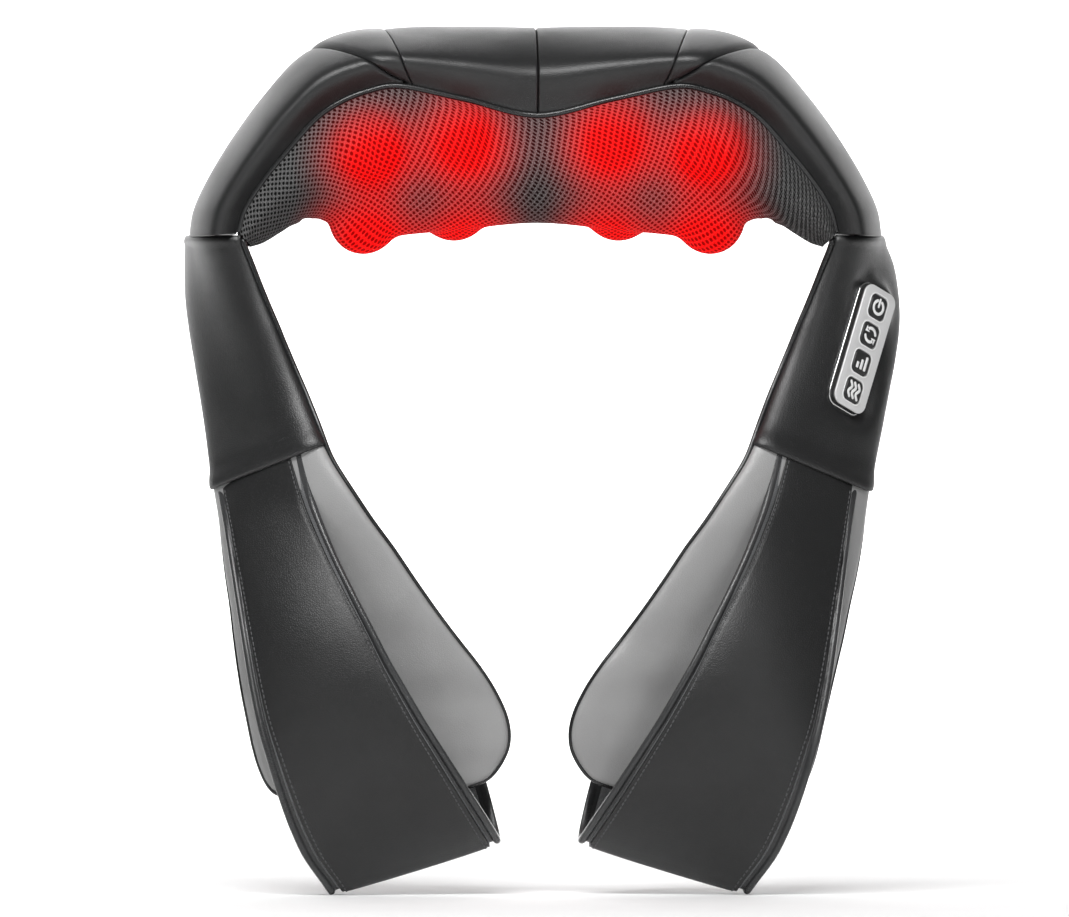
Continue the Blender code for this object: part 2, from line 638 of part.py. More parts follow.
def massage_mesh():
    """Knitted cover over the heads, lifted into a bump by each node it lies on."""
    lines = [even(mesh_line(u), PIPING_R + 0.0009, 0.0012, 61) for u in np.linspace(-8.9, 8.9, 43)]
    points = np.array(lines).transpose(1, 0, 2)
    normal = np.cross(np.gradient(points, axis=0), np.gradient(points, axis=1))
    normal /= np.linalg.norm(normal, axis=2)[..., None]
    normal *= -np.sign(normal[15, 21, 1])
    give = 0.0018
    lift = MESH_LIFT * max(1.0, SX / MM, MM / SZ) ** 1.6
    total = np.zeros(points.shape[:2])
    for side in (-1, 1):
        frame = head_frame(side)
        for x, y in node_spots().values():
            for z, radius in ((NODE_RISE, NODE_R), (0.001, 0.0085)):
                away = points - np.array(frame @ Vector((x, y, z)))
                rise = (away * normal).sum(axis=2)
                clear = radius + MESH_CLOTH + lift
                wide = np.sqrt(np.maximum((away ** 2).sum(axis=2) - rise ** 2, 0.0))
                cone = clear * math.hypot(1, TENT) - TENT * wide
                ball = np.sqrt(np.maximum(clear ** 2 - wide ** 2, 0.0))
                tent = np.where(wide < clear * TENT / math.hypot(1, TENT), ball, cone)
                total += np.exp(np.clip((tent - rise) / give, -30, 30))
    held = np.minimum(1.0, 12 * np.sin(np.linspace(0, np.pi, 61)))
    points = points + (give * np.log1p(total) * held[:, None])[..., None] * normal
    points = np.array([even(line, 0, 0, 15) for line in points.transpose(1, 0, 2)]).transpose(1, 0, 2)
    panel("massage_mesh", points, MESH_CLOTH, (0.06, 0.06, 0.065), 0.85, (0, 0.045, 0.02))


def backbone():
    """Stiff plate through the collar that the two gearboxes stand on.

    The foam over it keeps its thickness, so in a lower collar the plate shrinks faster than the collar.
    """
    half = [(0, 2), (40, 1), (80, 1), (112, 4), (132, 8), (148, 4), (163, -8),
            (176, -4), (165, 22), (149, 45), (131, 63), (110, 73), (84, 79), (42, 80), (0, 80)]
    outline = half + [(-x, z) for x, z in half[-2:0:-1]]
    tall = SZ - 0.2 * max(0.0, MM - SZ)
    bm = bmesh.new()
    rings = []
    for y in (BACKBONE_Y, BACKBONE_Y + 0.003):
        rings.append([bm.verts.new((x * SX, y, z * tall)) for x, z in outline])
    count = len(outline)
    for k in range(count):
        bm.faces.new((rings[0][k], rings[0][(k + 1) % count], rings[1][(k + 1) % count], rings[1][k]))
    bm.faces.new(rings[0][::-1])
    bm.faces.new(rings[1])
    add("backbone_plate", bm, (0.16, 0.16, 0.17), 0.5, smooth=False)


def neck_piping():
    """Piping between the leather and the mesh, shoulder seam to shoulder seam."""
    table = through(WHOLE, np.linspace(0.15, 2 * STATIONS - 0.15, 37))
    cord("neck_piping", space(table[:, 2], table[:, 4], table[:, 3]), PIPING_R, (0.03, 0.03, 0.03), 0.35)


# ---------------------------------------------------------------- arms
def arm(side, label):
    """Foam core, leather panels, piping and hand strap of one arm."""
    turns = np.arange(12) * 2 * np.pi / 12 + 0.13
    heights = np.r_[ARM_CORE_TOP / SZ, -80, -110, -142, -175, -210, -245, -280, -312, -332, -343]
    core = arm_surface(turns[None, :] + 0 * heights[:, None], heights[:, None] + 0 * turns[None, :],
                       LEATHER + 0.0038, side)
    foam = add("arm_foam_" + label, grid_bmesh(sided(core, side), True, caps=True), (0.75, 0.72, 0.55), 0.9)

    turns = np.arange(16) * 2 * np.pi / 16
    steps = np.linspace(0, 1, 7)[:, None]
    height = -30.5 * (1 - steps) + (hem(turns, side)[None, :] + 0.5) * steps
    points = arm_surface(turns[None, :] + 0 * height, height, -0.0002, side)
    shell = grid_bmesh(sided(points, side), True)
    shell.normal_update()
    middle = Vector((0.178 * side, 0.028, -0.09))
    if sum(f.normal.dot(f.calc_center_median() - middle) for f in shell.faces) < 0:
        bmesh.ops.reverse_faces(shell, faces=shell.faces[:])
    cover = add("shoulder_cover_" + label, shell, (0.045, 0.045, 0.05), 0.42, closed=False)
    mod = cover.modifiers.new("leather", "SOLIDIFY")
    mod.thickness = LEATHER
    mod.offset = -1.0

    for name, low, high, colour in (("arm_pad_", 0.22, np.pi - 0.068, (0.42, 0.42, 0.43)),
                                    ("arm_back_", np.pi + 0.068, 2 * np.pi - 0.22, (0.05, 0.05, 0.055))):
        turns = low + (high - low) * np.array([0, 0.04, 0.12, 0.3, 0.5, 0.7, 0.88, 0.96, 1])
        share = np.r_[0, 0.12, 0.26, 0.4, 0.54, 0.68, 0.8, 0.9, 0.96, 1.0][:, None]
        height = (hem(turns, side)[None, :] - 1.0) * (1 - share) - 350.0 * share
        points = arm_surface(turns[None, :] + 0 * height, height, 0.0, side)
        panel(name + label, sided(points, side), LEATHER, colour, 0.4, sided((0.105, -0.012, -0.27), side))

    # piping along the inner edge and round the end of the pad
    heights = np.r_[-33, -45, -63, -80, -100, -121, -142, -168, -194, -220, -245, -270, -290, -305,
                    -316, -325, -333, -340]
    tuck = np.where(heights > HEM_INNER, -PIPING_R - 0.0010, 0.0006)
    edge = arm_surface(np.zeros(len(heights)), heights, tuck, side)
    cord("arm_piping_" + label, sided(edge, side), PIPING_R, (0.03, 0.03, 0.03), 0.3)

    # hand strap and its lining, one strip folded under the end of the arm
    def strap(low, high, count, lift):
        rows = np.linspace(0, len(STRAP) - 1, 19)
        table = through(STRAP, rows)
        share = np.linspace(low, high, count)[None, :]
        xs, zs, ys = (table[:, k][:, None] * (1 - share) + table[:, k + 3][:, None] * share
                      for k in range(3))
        ys = ys - table[:, 6][:, None] * 4 * share * (1 - share)
        before = rows[:, None] < CREASE
        ys = np.where(before & (zs > -335), np.minimum(ys, arm_face(xs, zs, 1, side) - 3.4), ys)
        ys = np.where(~before & (zs > -352), np.maximum(ys, arm_face(xs, zs, -1, side) + 3.4), ys)
        points = space(xs, ys, zs)
        normal = np.cross(np.gradient(points, axis=0), np.gradient(points, axis=1))
        normal /= np.linalg.norm(normal, axis=2)[..., None]
        return points + lift * normal * np.sign(-normal[4, 0, 1])

    near = sided((0.105, -0.026, -0.335), side)
    points = strap(STRAP_MARGIN, 1 - STRAP_MARGIN, 5, STRAP_LEATHER + 0.0014)
    panel("hand_strap_" + label, sided(points, side), STRAP_LEATHER, (0.05, 0.05, 0.055), 0.4, near)
    points = strap(0.0, 1.0, 5, 0.0)
    panel("strap_lining_" + label, sided(points, side), STRAP_LINING, (0.22, 0.22, 0.23), 0.7, near)
    return foam, cover


def control_panel(foam, cover):
    """Panel let into the right shoulder: housing, face plate, four buttons, circuit board."""
    around = np.linspace(0.3, np.pi - 0.3, 60)
    height = np.full(60, PANEL_Z / SZ)
    skin = arm_surface(around, height)
    face = np.gradient(skin, axis=0)
    normal = np.stack([-face[:, 1], face[:, 0], np.zeros(60)], axis=1)
    normal /= -np.linalg.norm(normal, axis=1)[:, None] * np.sign(normal[30, 1])
    spot, out = skin[30], normal[30]
    if out[1] > 0:
        out = -out
    flat = np.cross((0, 0, 1), out)
    tall = np.cross(out, flat)
    c, s = math.cos(PANEL_LEAN), math.sin(PANEL_LEAN)
    tall, flat = tall * c + flat * s, flat * c - tall * s
    frame = Matrix([(flat[k], tall[k], out[k], spot[k]) for k in range(3)] + [(0, 0, 0, 1)])

    floor = -0.0080
    pocket = rounded_plate("panel_recess", frame, PANEL_W + 0.0010, PANEL_L + 0.0010, 0.0068,
                           floor - 0.0005, 0.03)
    cut(cover, pocket)
    cut(foam, pocket)
    house = rounded_plate("control_housing", frame, PANEL_W, PANEL_L, 0.0063, floor, PANEL_PROUD,
                          (0.12, 0.12, 0.13), 0.3)
    cut(house, rounded_plate("panel_room", frame, PANEL_W - 0.0034, PANEL_L - 0.0034, 0.0046,
                             floor + 0.0016, 0.02))
    face_low, face_high = PANEL_PROUD + 0.0003, PANEL_PROUD + 0.0015
    plate = rounded_plate("control_bezel", frame, PANEL_W - 0.0012, PANEL_L - 0.0012, 0.0057, face_low,
                          face_high, (0.80, 0.81, 0.82), 0.3, 0.6)
    rounded_plate("control_board", frame, PANEL_W - 0.0044, PANEL_L - 0.0050, 0.0041, floor + 0.0019,
                  floor + 0.0035, (0.05, 0.22, 0.10), 0.5)
    for k, name in enumerate(("power", "direction", "speed", "heat")):
        spot_k = frame @ Matrix.Translation((0, (1.5 - k) * BUTTON_PITCH, 0))
        size = BUTTON + 2 * BUTTON_PLAY
        cut(plate, rounded_plate("window_" + name, spot_k, size, size, 0.0034, -0.01, 0.02))
        rounded_plate("button_" + name, spot_k, BUTTON, BUTTON, 0.0030, floor + 0.0058,
                      face_high + BUTTON_PROUD, (0.09, 0.09, 0.10), 0.35)

    back = arm_surface(np.array([1.5 * np.pi]), np.array([PANEL_Z / SZ]))[0]
    turn = -out
    side = np.cross((0, 0, 1), turn)
    rise = np.cross(turn, side)
    socket = Matrix([(side[k], rise[k], turn[k], back[k]) for k in range(3)] + [(0, 0, 0, 1)])
    well = cylinder("jack_well", socket, JACK_R + 0.0005, -0.0075, 0.02, sides=20)
    cut(cover, well)
    cut(foam, well)
    cylinder("power_jack", socket, JACK_R, -0.0070, 0.0014, (0.06, 0.06, 0.06), 0.4, sides=20)


# the backbone stands just behind the lowest corner of the tilted gearbox cases
CASE_BACK = -WHEEL_BACK + CASE_BEHIND
BACKBONE_Y = float(HEAD[1] - AXIS[1] * CASE_BACK + CASE_R * math.sqrt(1 - AXIS[1] ** 2)) + 0.0035


def main():
    for obj in list(bpy.data.objects):
        bpy.data.objects.remove(obj, do_unlink=True)
    bpy.context.scene.collection.children.link(KIT)
    bpy.context.scene.collection.children.link(CUTTERS)
    neck_foam()
    massage_mesh()
    neck_piping()
    backbone()
    for side, label in ((1, "right"), (-1, "left")):
        collar_panels(side, label)
        drive(side, label)
        foam, cover = arm(side, label)
        if side == 1:
            control_panel(foam, cover)


main()
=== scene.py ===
"""Looks of the shiatsu neck and shoulder massager: leather covers, air mesh, piping, straps, keys.

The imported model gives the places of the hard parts. Tables are in millimetres on the part's own
sheet, everything else is in metres."""
import math

import bmesh
import bpy
import numpy as np
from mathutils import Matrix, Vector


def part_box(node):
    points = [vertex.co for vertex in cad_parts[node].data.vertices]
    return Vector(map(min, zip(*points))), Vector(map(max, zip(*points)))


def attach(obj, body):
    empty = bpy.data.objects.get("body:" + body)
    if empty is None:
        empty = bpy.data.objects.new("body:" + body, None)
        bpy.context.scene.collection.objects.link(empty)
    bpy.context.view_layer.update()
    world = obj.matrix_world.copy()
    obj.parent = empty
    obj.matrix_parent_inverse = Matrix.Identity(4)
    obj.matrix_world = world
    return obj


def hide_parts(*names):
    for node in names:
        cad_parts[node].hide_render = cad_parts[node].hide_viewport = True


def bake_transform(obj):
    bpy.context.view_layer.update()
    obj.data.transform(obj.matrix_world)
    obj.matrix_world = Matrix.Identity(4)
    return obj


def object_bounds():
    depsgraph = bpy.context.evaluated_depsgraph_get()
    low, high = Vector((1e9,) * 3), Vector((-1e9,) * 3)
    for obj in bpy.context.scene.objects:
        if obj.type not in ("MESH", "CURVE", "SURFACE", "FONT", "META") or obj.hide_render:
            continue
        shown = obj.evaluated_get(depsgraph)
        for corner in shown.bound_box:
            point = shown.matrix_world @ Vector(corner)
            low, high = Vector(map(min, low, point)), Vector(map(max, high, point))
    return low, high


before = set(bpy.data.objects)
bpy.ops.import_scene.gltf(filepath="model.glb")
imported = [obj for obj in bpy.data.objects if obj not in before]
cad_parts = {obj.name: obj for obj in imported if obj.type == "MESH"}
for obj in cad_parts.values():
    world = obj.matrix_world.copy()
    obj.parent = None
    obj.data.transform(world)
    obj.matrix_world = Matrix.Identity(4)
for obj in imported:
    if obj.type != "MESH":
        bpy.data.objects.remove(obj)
cad_box = [list(corner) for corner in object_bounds()]
NODES = list(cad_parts)

# ------------------------------------------------------------------ outline tables, millimetres
# Stations along half of the collar: outer x z, piping x z, piping depth, mesh bottom x z
COLLAR = np.array([
    (0, 95, 0, 43, -30, 0, -18),
    (45, 95, 42, 52, -34, 42, -21),
    (88, 94, 80, 60, -38, 76, -24),
    (118, 88, 100, 57, -38, 95, -25),
    (140, 77, 117, 50, -38, 110, -21),
    (161, 53.5, 131, 40, -36, 124, -15),
    (178, 30, 147, 22, -34, 137, -16),
    (192, 7, 160, 6, -32, 149, -24),
    (201, -12, 171, -11, -30, 160, -31),
    (204, -28, 175.5, -26, -28, 168, -34),
])
# rear edge of the leather x y z, and how far back the collar bulges
REAR = np.array([
    (0, 50, -10, 74), (42, 50, -12, 74), (80, 50, -12, 74), (100, 50, -10, 73), (117, 50, -8, 72),
    (131, 52, -6, 71), (147, 54, -8, 70), (160, 57, -14, 69), (170, 59, -20, 68), (175, 60, -27, 66),
])
# Slices down an arm: height, inner x, outer x, centre depth, half width, half thickness,
# and how much further out the right sleeve (round the key panel) and the left one swell
ARM = np.array([
    (-30, 174.5, 204.5, 18, 47, 14.0, 2.0, 1.5),
    (-45, 168.5, 208, 14, 45, 13.5, 4.0, -2.0),
    (-63, 161.5, 208.7, 8, 43, 13.0, 5.5, -3.2),
    (-80, 154.2, 208, 1, 41.5, 12.8, 6.0, -4.5),
    (-100, 146, 205.8, -6, 41, 12.5, 5.2, -5.5),
    (-121, 137, 202.4, -14, 42, 12.2, 4.2, -5.5),
    (-142, 128.6, 198.7, -22, 45, 12.0, 3.8, -4.8),
    (-160, 119.7, 195.6, -28, 47.5, 11.5, 3.2, -3.8),
    (-177, 108.8, 192, -34, 50, 11.0, 3.2, -2.6),
    (-194, 97.5, 189.3, -38, 53, 10.5, 3.0, -2.6),
    (-210, 85.6, 187.5, -42, 56, 10.0, 2.2, -2.8),
    (-228, 73.6, 185.2, -45, 59.5, 9.6, 1.0, -2.8),
    (-245, 61.7, 182.2, -47, 63, 9.3, 0.0, -2.4),
    (-262, 49, 179.4, -48.5, 67, 9.0, -0.8, -1.6),
    (-280, 35, 176, -50, 72, 9.0, -1.6, -0.6),
    (-297, 24.5, 172.6, -50, 75, 9.0, -2.2, 0.0),
    (-312, 18.6, 169.6, -50, 76.5, 9.0, -2.6, 0.0),
    (-325, 18.2, 167, -50, 75.5, 9.0, -2.8, 0.0),
    (-336, 23, 164, -50, 71.5, 8.6, -2.8, 0.0),
    (-345, 31, 160.5, -50, 66, 7.6, -2.6, 0.0),
    (-351, 48, 157, -50, 56, 5.6, -2.4, 0.0),
    (-354.5, 70, 153, -50, 42.5, 3.0, -2.2, 0.0),
])
ARM_BULGE = 2.6
HEM_INNER, HEM_OUTER, HEM_X = -148.8, -177.0, (125.0, 192.0)
# Hand strap from the hem over the bottom crease to the seam behind the arm:
# inner edge x z y, outer edge x z y, bow
STRAP = np.array([
    (139, -154.5, -47, 187.2, -178.5, -19, 0.0), (129.5, -187, -63, 182.8, -203, -35, 2.0),
    (115, -221, -79, 178.6, -230, -50, 5.0), (102.3, -245.8, -88, 174.4, -257, -63, 8.0),
    (90, -270, -94.5, 169.8, -287, -74, 8.0), (79.7, -288, -97.5, 164.3, -314.6, -83, 6.0),
    (64.7, -313.4, -98, 159, -333.7, -87, 4.0), (51.7, -333.5, -95.5, 153.2, -352.8, -87, 3.0),
    (41.7, -349.3, -90, 147.3, -369.3, -83, 2.0), (31, -366, -79, 139.7, -387, -75, 1.0),
    (24.5, -376.5, -68, 127.5, -405, -65, 0.0), (22.6, -379.3, -60, 123.5, -410.4, -57, 0.0),
    (24.0, -372.5, -50, 128, -400, -44, 0.0), (27.5, -358, -42.5, 140, -376, -34, 0.0),
    (31.0, -345, -39.6, 150, -356, -28.5, 0.0), (35.0, -330, -39.6, 157, -336, -26.5, 0.0),
])
CREASE = 11
NAPE_DEPTH = 33.0
STATIONS = len(COLLAR) - 1
PIPING_R = 0.0015

# ------------------------------------------------------------------ key panel
PANEL_OUT = np.array([0.67764, -0.7354, 0.0])
PANEL_LEAN = math.radians(23.0)
PANEL_W, PANEL_L, PANEL_CORNER = 0.0276, 0.0760, 0.0066
PANEL_PROUD = 0.0030
BUTTON, BUTTON_CORNER, BUTTON_PITCH = 0.0132, 0.0032, 0.0176
KEYS = ("power", "direction", "speed", "heat")


# ------------------------------------------------------------------ curves through tables
def through(table, t):
    """Catmull-Rom cubic through the rows of a table, at places t counted in rows."""
    table = np.asarray(table, float)
    t = np.clip(np.asarray(t, float), 0, len(table) - 1 - 1e-9)
    i = t.astype(int)
    f = (t - i).reshape(t.shape + (1,) * (table.ndim - 1))
    ends = np.concatenate([[2 * table[0] - table[1]], table, [2 * table[-1] - table[-2]]])
    a, b, c, d = ends[i], ends[i + 1], ends[i + 2], ends[i + 3]
    return b + f * (c - a) / 2 + f ** 2 * (a - 2.5 * b + 2 * c - d / 2) + f ** 3 * (
        1.5 * (b - c) + (d - a) / 2)


def run_out(table, columns):
    """A half table carried to both sides of the centre, the named columns changing sign."""
    sign = np.ones(table.shape[1])
    sign[columns] = -1
    return np.concatenate([(table * sign)[:0:-1], table])


WHOLE = run_out(COLLAR, [0, 2, 5])
WHOLE_REAR = run_out(REAR, [0])


def space(x, y, z):
    """Sheet millimetres to metres in the part's frame."""
    return np.stack(np.broadcast_arrays(x, y + NAPE_DEPTH, z), axis=-1) * 0.001


def spaced(lines):
    """Running length in metres along the second axis of an array of points."""
    steps = np.linalg.norm(np.diff(lines, axis=1), axis=2)
    return np.concatenate([np.zeros((len(lines), 1)), np.cumsum(steps, axis=1)], axis=1)


def even_rows(lines, count, first=0.0, last=0.0):
    """Each line resampled to count points at even steps, first and last metres left off."""
    length = spaced(lines)
    out = np.empty((len(lines), count, 3))
    for k, line in enumerate(lines):
        at = np.linspace(first, length[k, -1] - last, count)
        out[k] = np.stack([np.interp(at, length[k], line[:, c]) for c in range(3)], axis=1)
    return out


def leather_lines(u):
    """Cross-sections of the collar leather at stations u: piping, over the top, rear edge."""
    ox, oz, fx, fz, fy = np.moveaxis(through(WHOLE, u + STATIONS), -1, 0)[:5]
    rx, ry, rz, back = np.moveaxis(through(WHOLE_REAR, u + STATIONS), -1, 0)
    knots = np.array([
        (fx, fy, fz),
        (fx + 0.55 * (ox - fx), fy - 7, fz + 0.55 * (oz - fz)),
        (ox, 15 + 0 * ox, oz),
        (rx + 0.78 * (ox - rx), back - 8, rz + 0.78 * (oz - rz)),
        (rx + 0.38 * (ox - rx), back, rz + 0.38 * (oz - rz)),
        (rx, ry, rz),
    ])
    lines = through(knots, np.linspace(0, 5, 161))
    return np.moveaxis(space(lines[:, 0], lines[:, 1], lines[:, 2]), 0, 1)


def mesh_lines(u):
    """Cross-sections of the air mesh at stations u: piping, front, underside, rear edge."""
    fx, fz, fy, ix, iz = np.moveaxis(through(WHOLE, u + STATIONS), -1, 0)[2:7]
    rx, ry, rz, _ = np.moveaxis(through(WHOLE_REAR, u + STATIONS), -1, 0)
    knots = np.array([
        (fx, fy, fz),
        (fx + 0.5 * (ix - fx), fy - 4, fz + 0.52 * (iz - fz)),
        (ix, fy + 16, iz),
        (ix + 0.4 * (rx - ix), 0.5 * (fy + 16 + ry), iz + 0.12 * (rz - iz)),
        (rx, ry, rz),
    ])
    lines = through(knots, np.linspace(0, 4, 129))
    return np.moveaxis(space(lines[:, 0], lines[:, 1], lines[:, 2]), 0, 1)


DENSE_U = np.linspace(-STATIONS, STATIONS, 361)
DENSE = even_rows(leather_lines(DENSE_U), 181)


def collar_surface(u, share):
    """Collar leather at stations u and shares of the section's length, off a dense net of it.

    Cubic through four neighbouring lines each way."""
    iu = (u + STATIONS) / (2 * STATIONS) * (len(DENSE_U) - 1)
    iv = share * (DENSE.shape[1] - 1)

    def weights(t, count):
        i = np.clip(t.astype(int), 1, count - 3)
        f = t - i
        w = np.stack([-f / 2 + f ** 2 - f ** 3 / 2, 1 - 2.5 * f ** 2 + 1.5 * f ** 3,
                      f / 2 + 2 * f ** 2 - 1.5 * f ** 3, -f ** 2 / 2 + f ** 3 / 2])
        return i, w
    i, wu = weights(iu, DENSE.shape[0])
    j, wv = weights(iv, DENSE.shape[1])
    out = np.zeros(u.shape + (3,))
    for a in range(4):
        for b in range(4):
            out += (wu[a] * wv[b])[..., None] * DENSE[i + a - 1, j + b - 1]
    return out


def arm_surface(theta, height, inset=0.0, side=1):
    """An arm's skin: superellipse slices, leaning, held to the slice's width.

    theta 0 is the inner edge, a quarter turn the front, a half turn the outer edge. At the
    shoulder the front edge is drawn across to the inner side by a bell curve round theta 0."""
    theta, height = np.broadcast_arrays(np.asarray(theta, float), np.asarray(height, float))
    at = np.interp(-height, -ARM[:, 0], np.arange(len(ARM)))
    _, inner, outer, mid, wide, thick, right, left = np.moveaxis(through(ARM, at), -1, 0)
    outer = outer + (right if side > 0 else left)
    inset = 1000 * np.asarray(inset)
    thick = np.maximum(thick - inset, 0.8)
    reach = (outer - inner) / 2 - inset
    wide = np.maximum(wide - inset, reach + 0.2)
    lean = np.clip((reach ** 2 - thick ** 2) / (wide ** 2 - thick ** 2), 0.0, 0.995)
    c, s = np.sqrt(lean), np.sqrt(1 - lean)
    power = 2 / ARM_BULGE

    def slice_x(turn, wide, thick, c, s):
        p = np.sign(np.cos(turn)) * np.abs(np.cos(turn)) ** power * wide
        q = np.sign(np.sin(turn)) * np.abs(np.sin(turn)) ** power * thick
        return p, q
    p, q = slice_x(theta, wide, thick, c, s)
    p = -p
    x = c * p + s * q
    y = mid + s * p - c * q
    around = np.linspace(0, 2 * np.pi, 73)
    far_p, far_q = slice_x(around, wide[..., None], thick[..., None], c, s)
    far = far_p * c[..., None] + far_q * s[..., None]
    fit = reach / far.max(axis=-1)
    near = np.exp(-(np.angle(np.exp(1j * theta)) / 0.8) ** 2)
    x = np.maximum(x * fit - (reach - c * wide * fit) * near, -reach)
    return space((inner + outer) / 2 + x, y, height)


def hem(theta, side):
    """Height of the shoulder cover's hem round the arm: a straight slant seen from the front,
    found by going from height to place across and back four times."""
    height = HEM_INNER + (HEM_OUTER - HEM_INNER) * (1 - np.cos(theta)) / 2
    for _ in range(4):
        x = arm_surface(theta, height, 0.0, side)[..., 0] * 1000
        height = np.interp(x, HEM_X, (HEM_INNER, HEM_OUTER))
    return height


def sided(points, side):
    """The same points on the right (1) or left (-1)."""
    return np.asarray(points) * (side, 1, 1)


# ------------------------------------------------------------------ meshes
def normals_of(grid):
    """Unit normals of a grid of points, from its two slopes."""
    normal = np.cross(np.gradient(grid, axis=0), np.gradient(grid, axis=1))
    return normal / np.maximum(np.linalg.norm(normal, axis=2), 1e-12)[..., None]


def facing_out(grid, inside):
    """Unit normals of a grid turned away from a point inside it."""
    normal = normals_of(grid)
    return normal * np.sign(((grid - inside) * normal).sum())


def grid_faces(rows, cols, wrap_rows=False, wrap_cols=False):
    """Four corners of every face of a grid, and the grid place of each corner for its UV."""
    i, j = np.meshgrid(np.arange(rows if wrap_rows else rows - 1),
                       np.arange(cols if wrap_cols else cols - 1), indexing="ij")
    i, j = i.ravel(), j.ravel()
    down = np.stack([i, i, i + 1, i + 1], axis=1)
    along = np.stack([j, j + 1, j + 1, j], axis=1)
    return (down % rows) * cols + along % cols, down, along


def make(name, points, faces, look, uv=None, marks=None, smooth=True):
    """An object from arrays: points, four-cornered faces, UV for each corner, marks for each point."""
    mesh = bpy.data.meshes.new(name)
    mesh.vertices.add(len(points))
    mesh.vertices.foreach_set("co", np.ascontiguousarray(points, np.float32).ravel())
    mesh.loops.add(faces.size)
    mesh.loops.foreach_set("vertex_index", np.ascontiguousarray(faces, np.int32).ravel())
    mesh.polygons.add(len(faces))
    mesh.polygons.foreach_set("loop_start", np.arange(len(faces), dtype=np.int32) * faces.shape[1])
    mesh.update(calc_edges=True)
    mesh.polygons.foreach_set("use_smooth", np.full(len(faces), smooth))
    if uv is not None:
        layer = mesh.uv_layers.new(name="cloth")
        layer.data.foreach_set("uv", np.ascontiguousarray(uv, np.float32).ravel())
    for mark, values in (marks or {}).items():
        layer = mesh.attributes.new(mark, "FLOAT", "POINT")
        layer.data.foreach_set("value", np.ascontiguousarray(values, np.float32).ravel())
    mesh.validate()
    obj = bpy.data.objects.new(name, mesh)
    bpy.context.scene.collection.objects.link(obj)
    mesh.materials.append(look)
    return obj


def volume_sign(points, faces):
    """Sign of a closed mesh's volume, from cones to the origin."""
    a, b, c, d = (points[faces[:, k]] for k in range(4))
    cones = (a * np.cross(b, c)).sum() + (a * np.cross(c, d)).sum()
    return 1 if cones > 0 else -1


def skin(name, outer, inner, look, uv, marks=None, wrap=False):
    """A closed skin: an outer and an inner grid joined round their open edges."""
    rows, cols = outer.shape[:2]
    faces, down, along = grid_faces(rows, cols, wrap_cols=wrap)
    count = rows * cols
    corner_uv = uv[np.minimum(down, rows - 1), along % uv.shape[1]] if not wrap else uv[down, along]
    back = faces[:, ::-1] + count
    back_uv = corner_uv[:, ::-1]
    index = np.arange(count).reshape(rows, cols)
    rims = [index[0], index[-1][::-1]]
    if wrap:
        rims = [np.r_[rim, rim[0]] for rim in rims]
    else:
        rims += [index[::-1, 0], index[:, -1]]
    sides, side_uv = [], []
    for rim in rims:
        quad = np.stack([rim[1:], rim[:-1], rim[:-1] + count, rim[1:] + count], axis=1)
        sides.append(quad)
        place = uv[:, :cols].reshape(-1, 2)[quad % count]
        side_uv.append(place)
    faces = np.concatenate([faces, back] + sides)
    corner_uv = np.concatenate([corner_uv, back_uv] + side_uv)
    points = np.concatenate([outer.reshape(-1, 3), inner.reshape(-1, 3)])
    if volume_sign(points, faces) < 0:
        faces, corner_uv = faces[:, ::-1], corner_uv[:, ::-1]
    doubled = {key: np.r_[value.ravel(), value.ravel()] for key, value in (marks or {}).items()}
    return make(name, points, faces, look, corner_uv, doubled)


def lengths_uv(grid, wrap=False):
    """UV in metres: mean running length along the rows and down the columns."""
    if wrap:
        grid = np.concatenate([grid, grid[:, :1]], axis=1)
    across = spaced(grid)
    down = spaced(grid.transpose(1, 0, 2)).T
    return np.stack([across, down], axis=-1)


def roll(distance, width, depth):
    """How far a seamed edge turns in: a quarter ellipse over the last width metres."""
    near = np.clip(1 - distance / width, 0, 1)
    return depth * (1 - np.sqrt(1 - near ** 2))


def edge_rolls(grid, tops):
    """Turn-in of a panel at its four borders; tops holds (width, depth) for first and last row,
    first and last column, or None where the border isn't seamed."""
    down = spaced(grid.transpose(1, 0, 2)).T
    across = spaced(grid)
    distances = (down, down[-1:] - down, across, across[:, -1:] - across)
    total = np.zeros(grid.shape[:2])
    for distance, size in zip(distances, tops):
        if size:
            total = np.maximum(total, roll(distance, *size))
    return total


def clustered(count, ends=0.035, extra=6):
    """Places from 0 to 1, closer together near both ends."""
    fine = ends * (1 - np.cos(np.linspace(0, np.pi / 2, extra + 1)))
    return np.r_[fine, np.linspace(ends, 1 - ends, count)[1:-1], 1 - fine[::-1]]


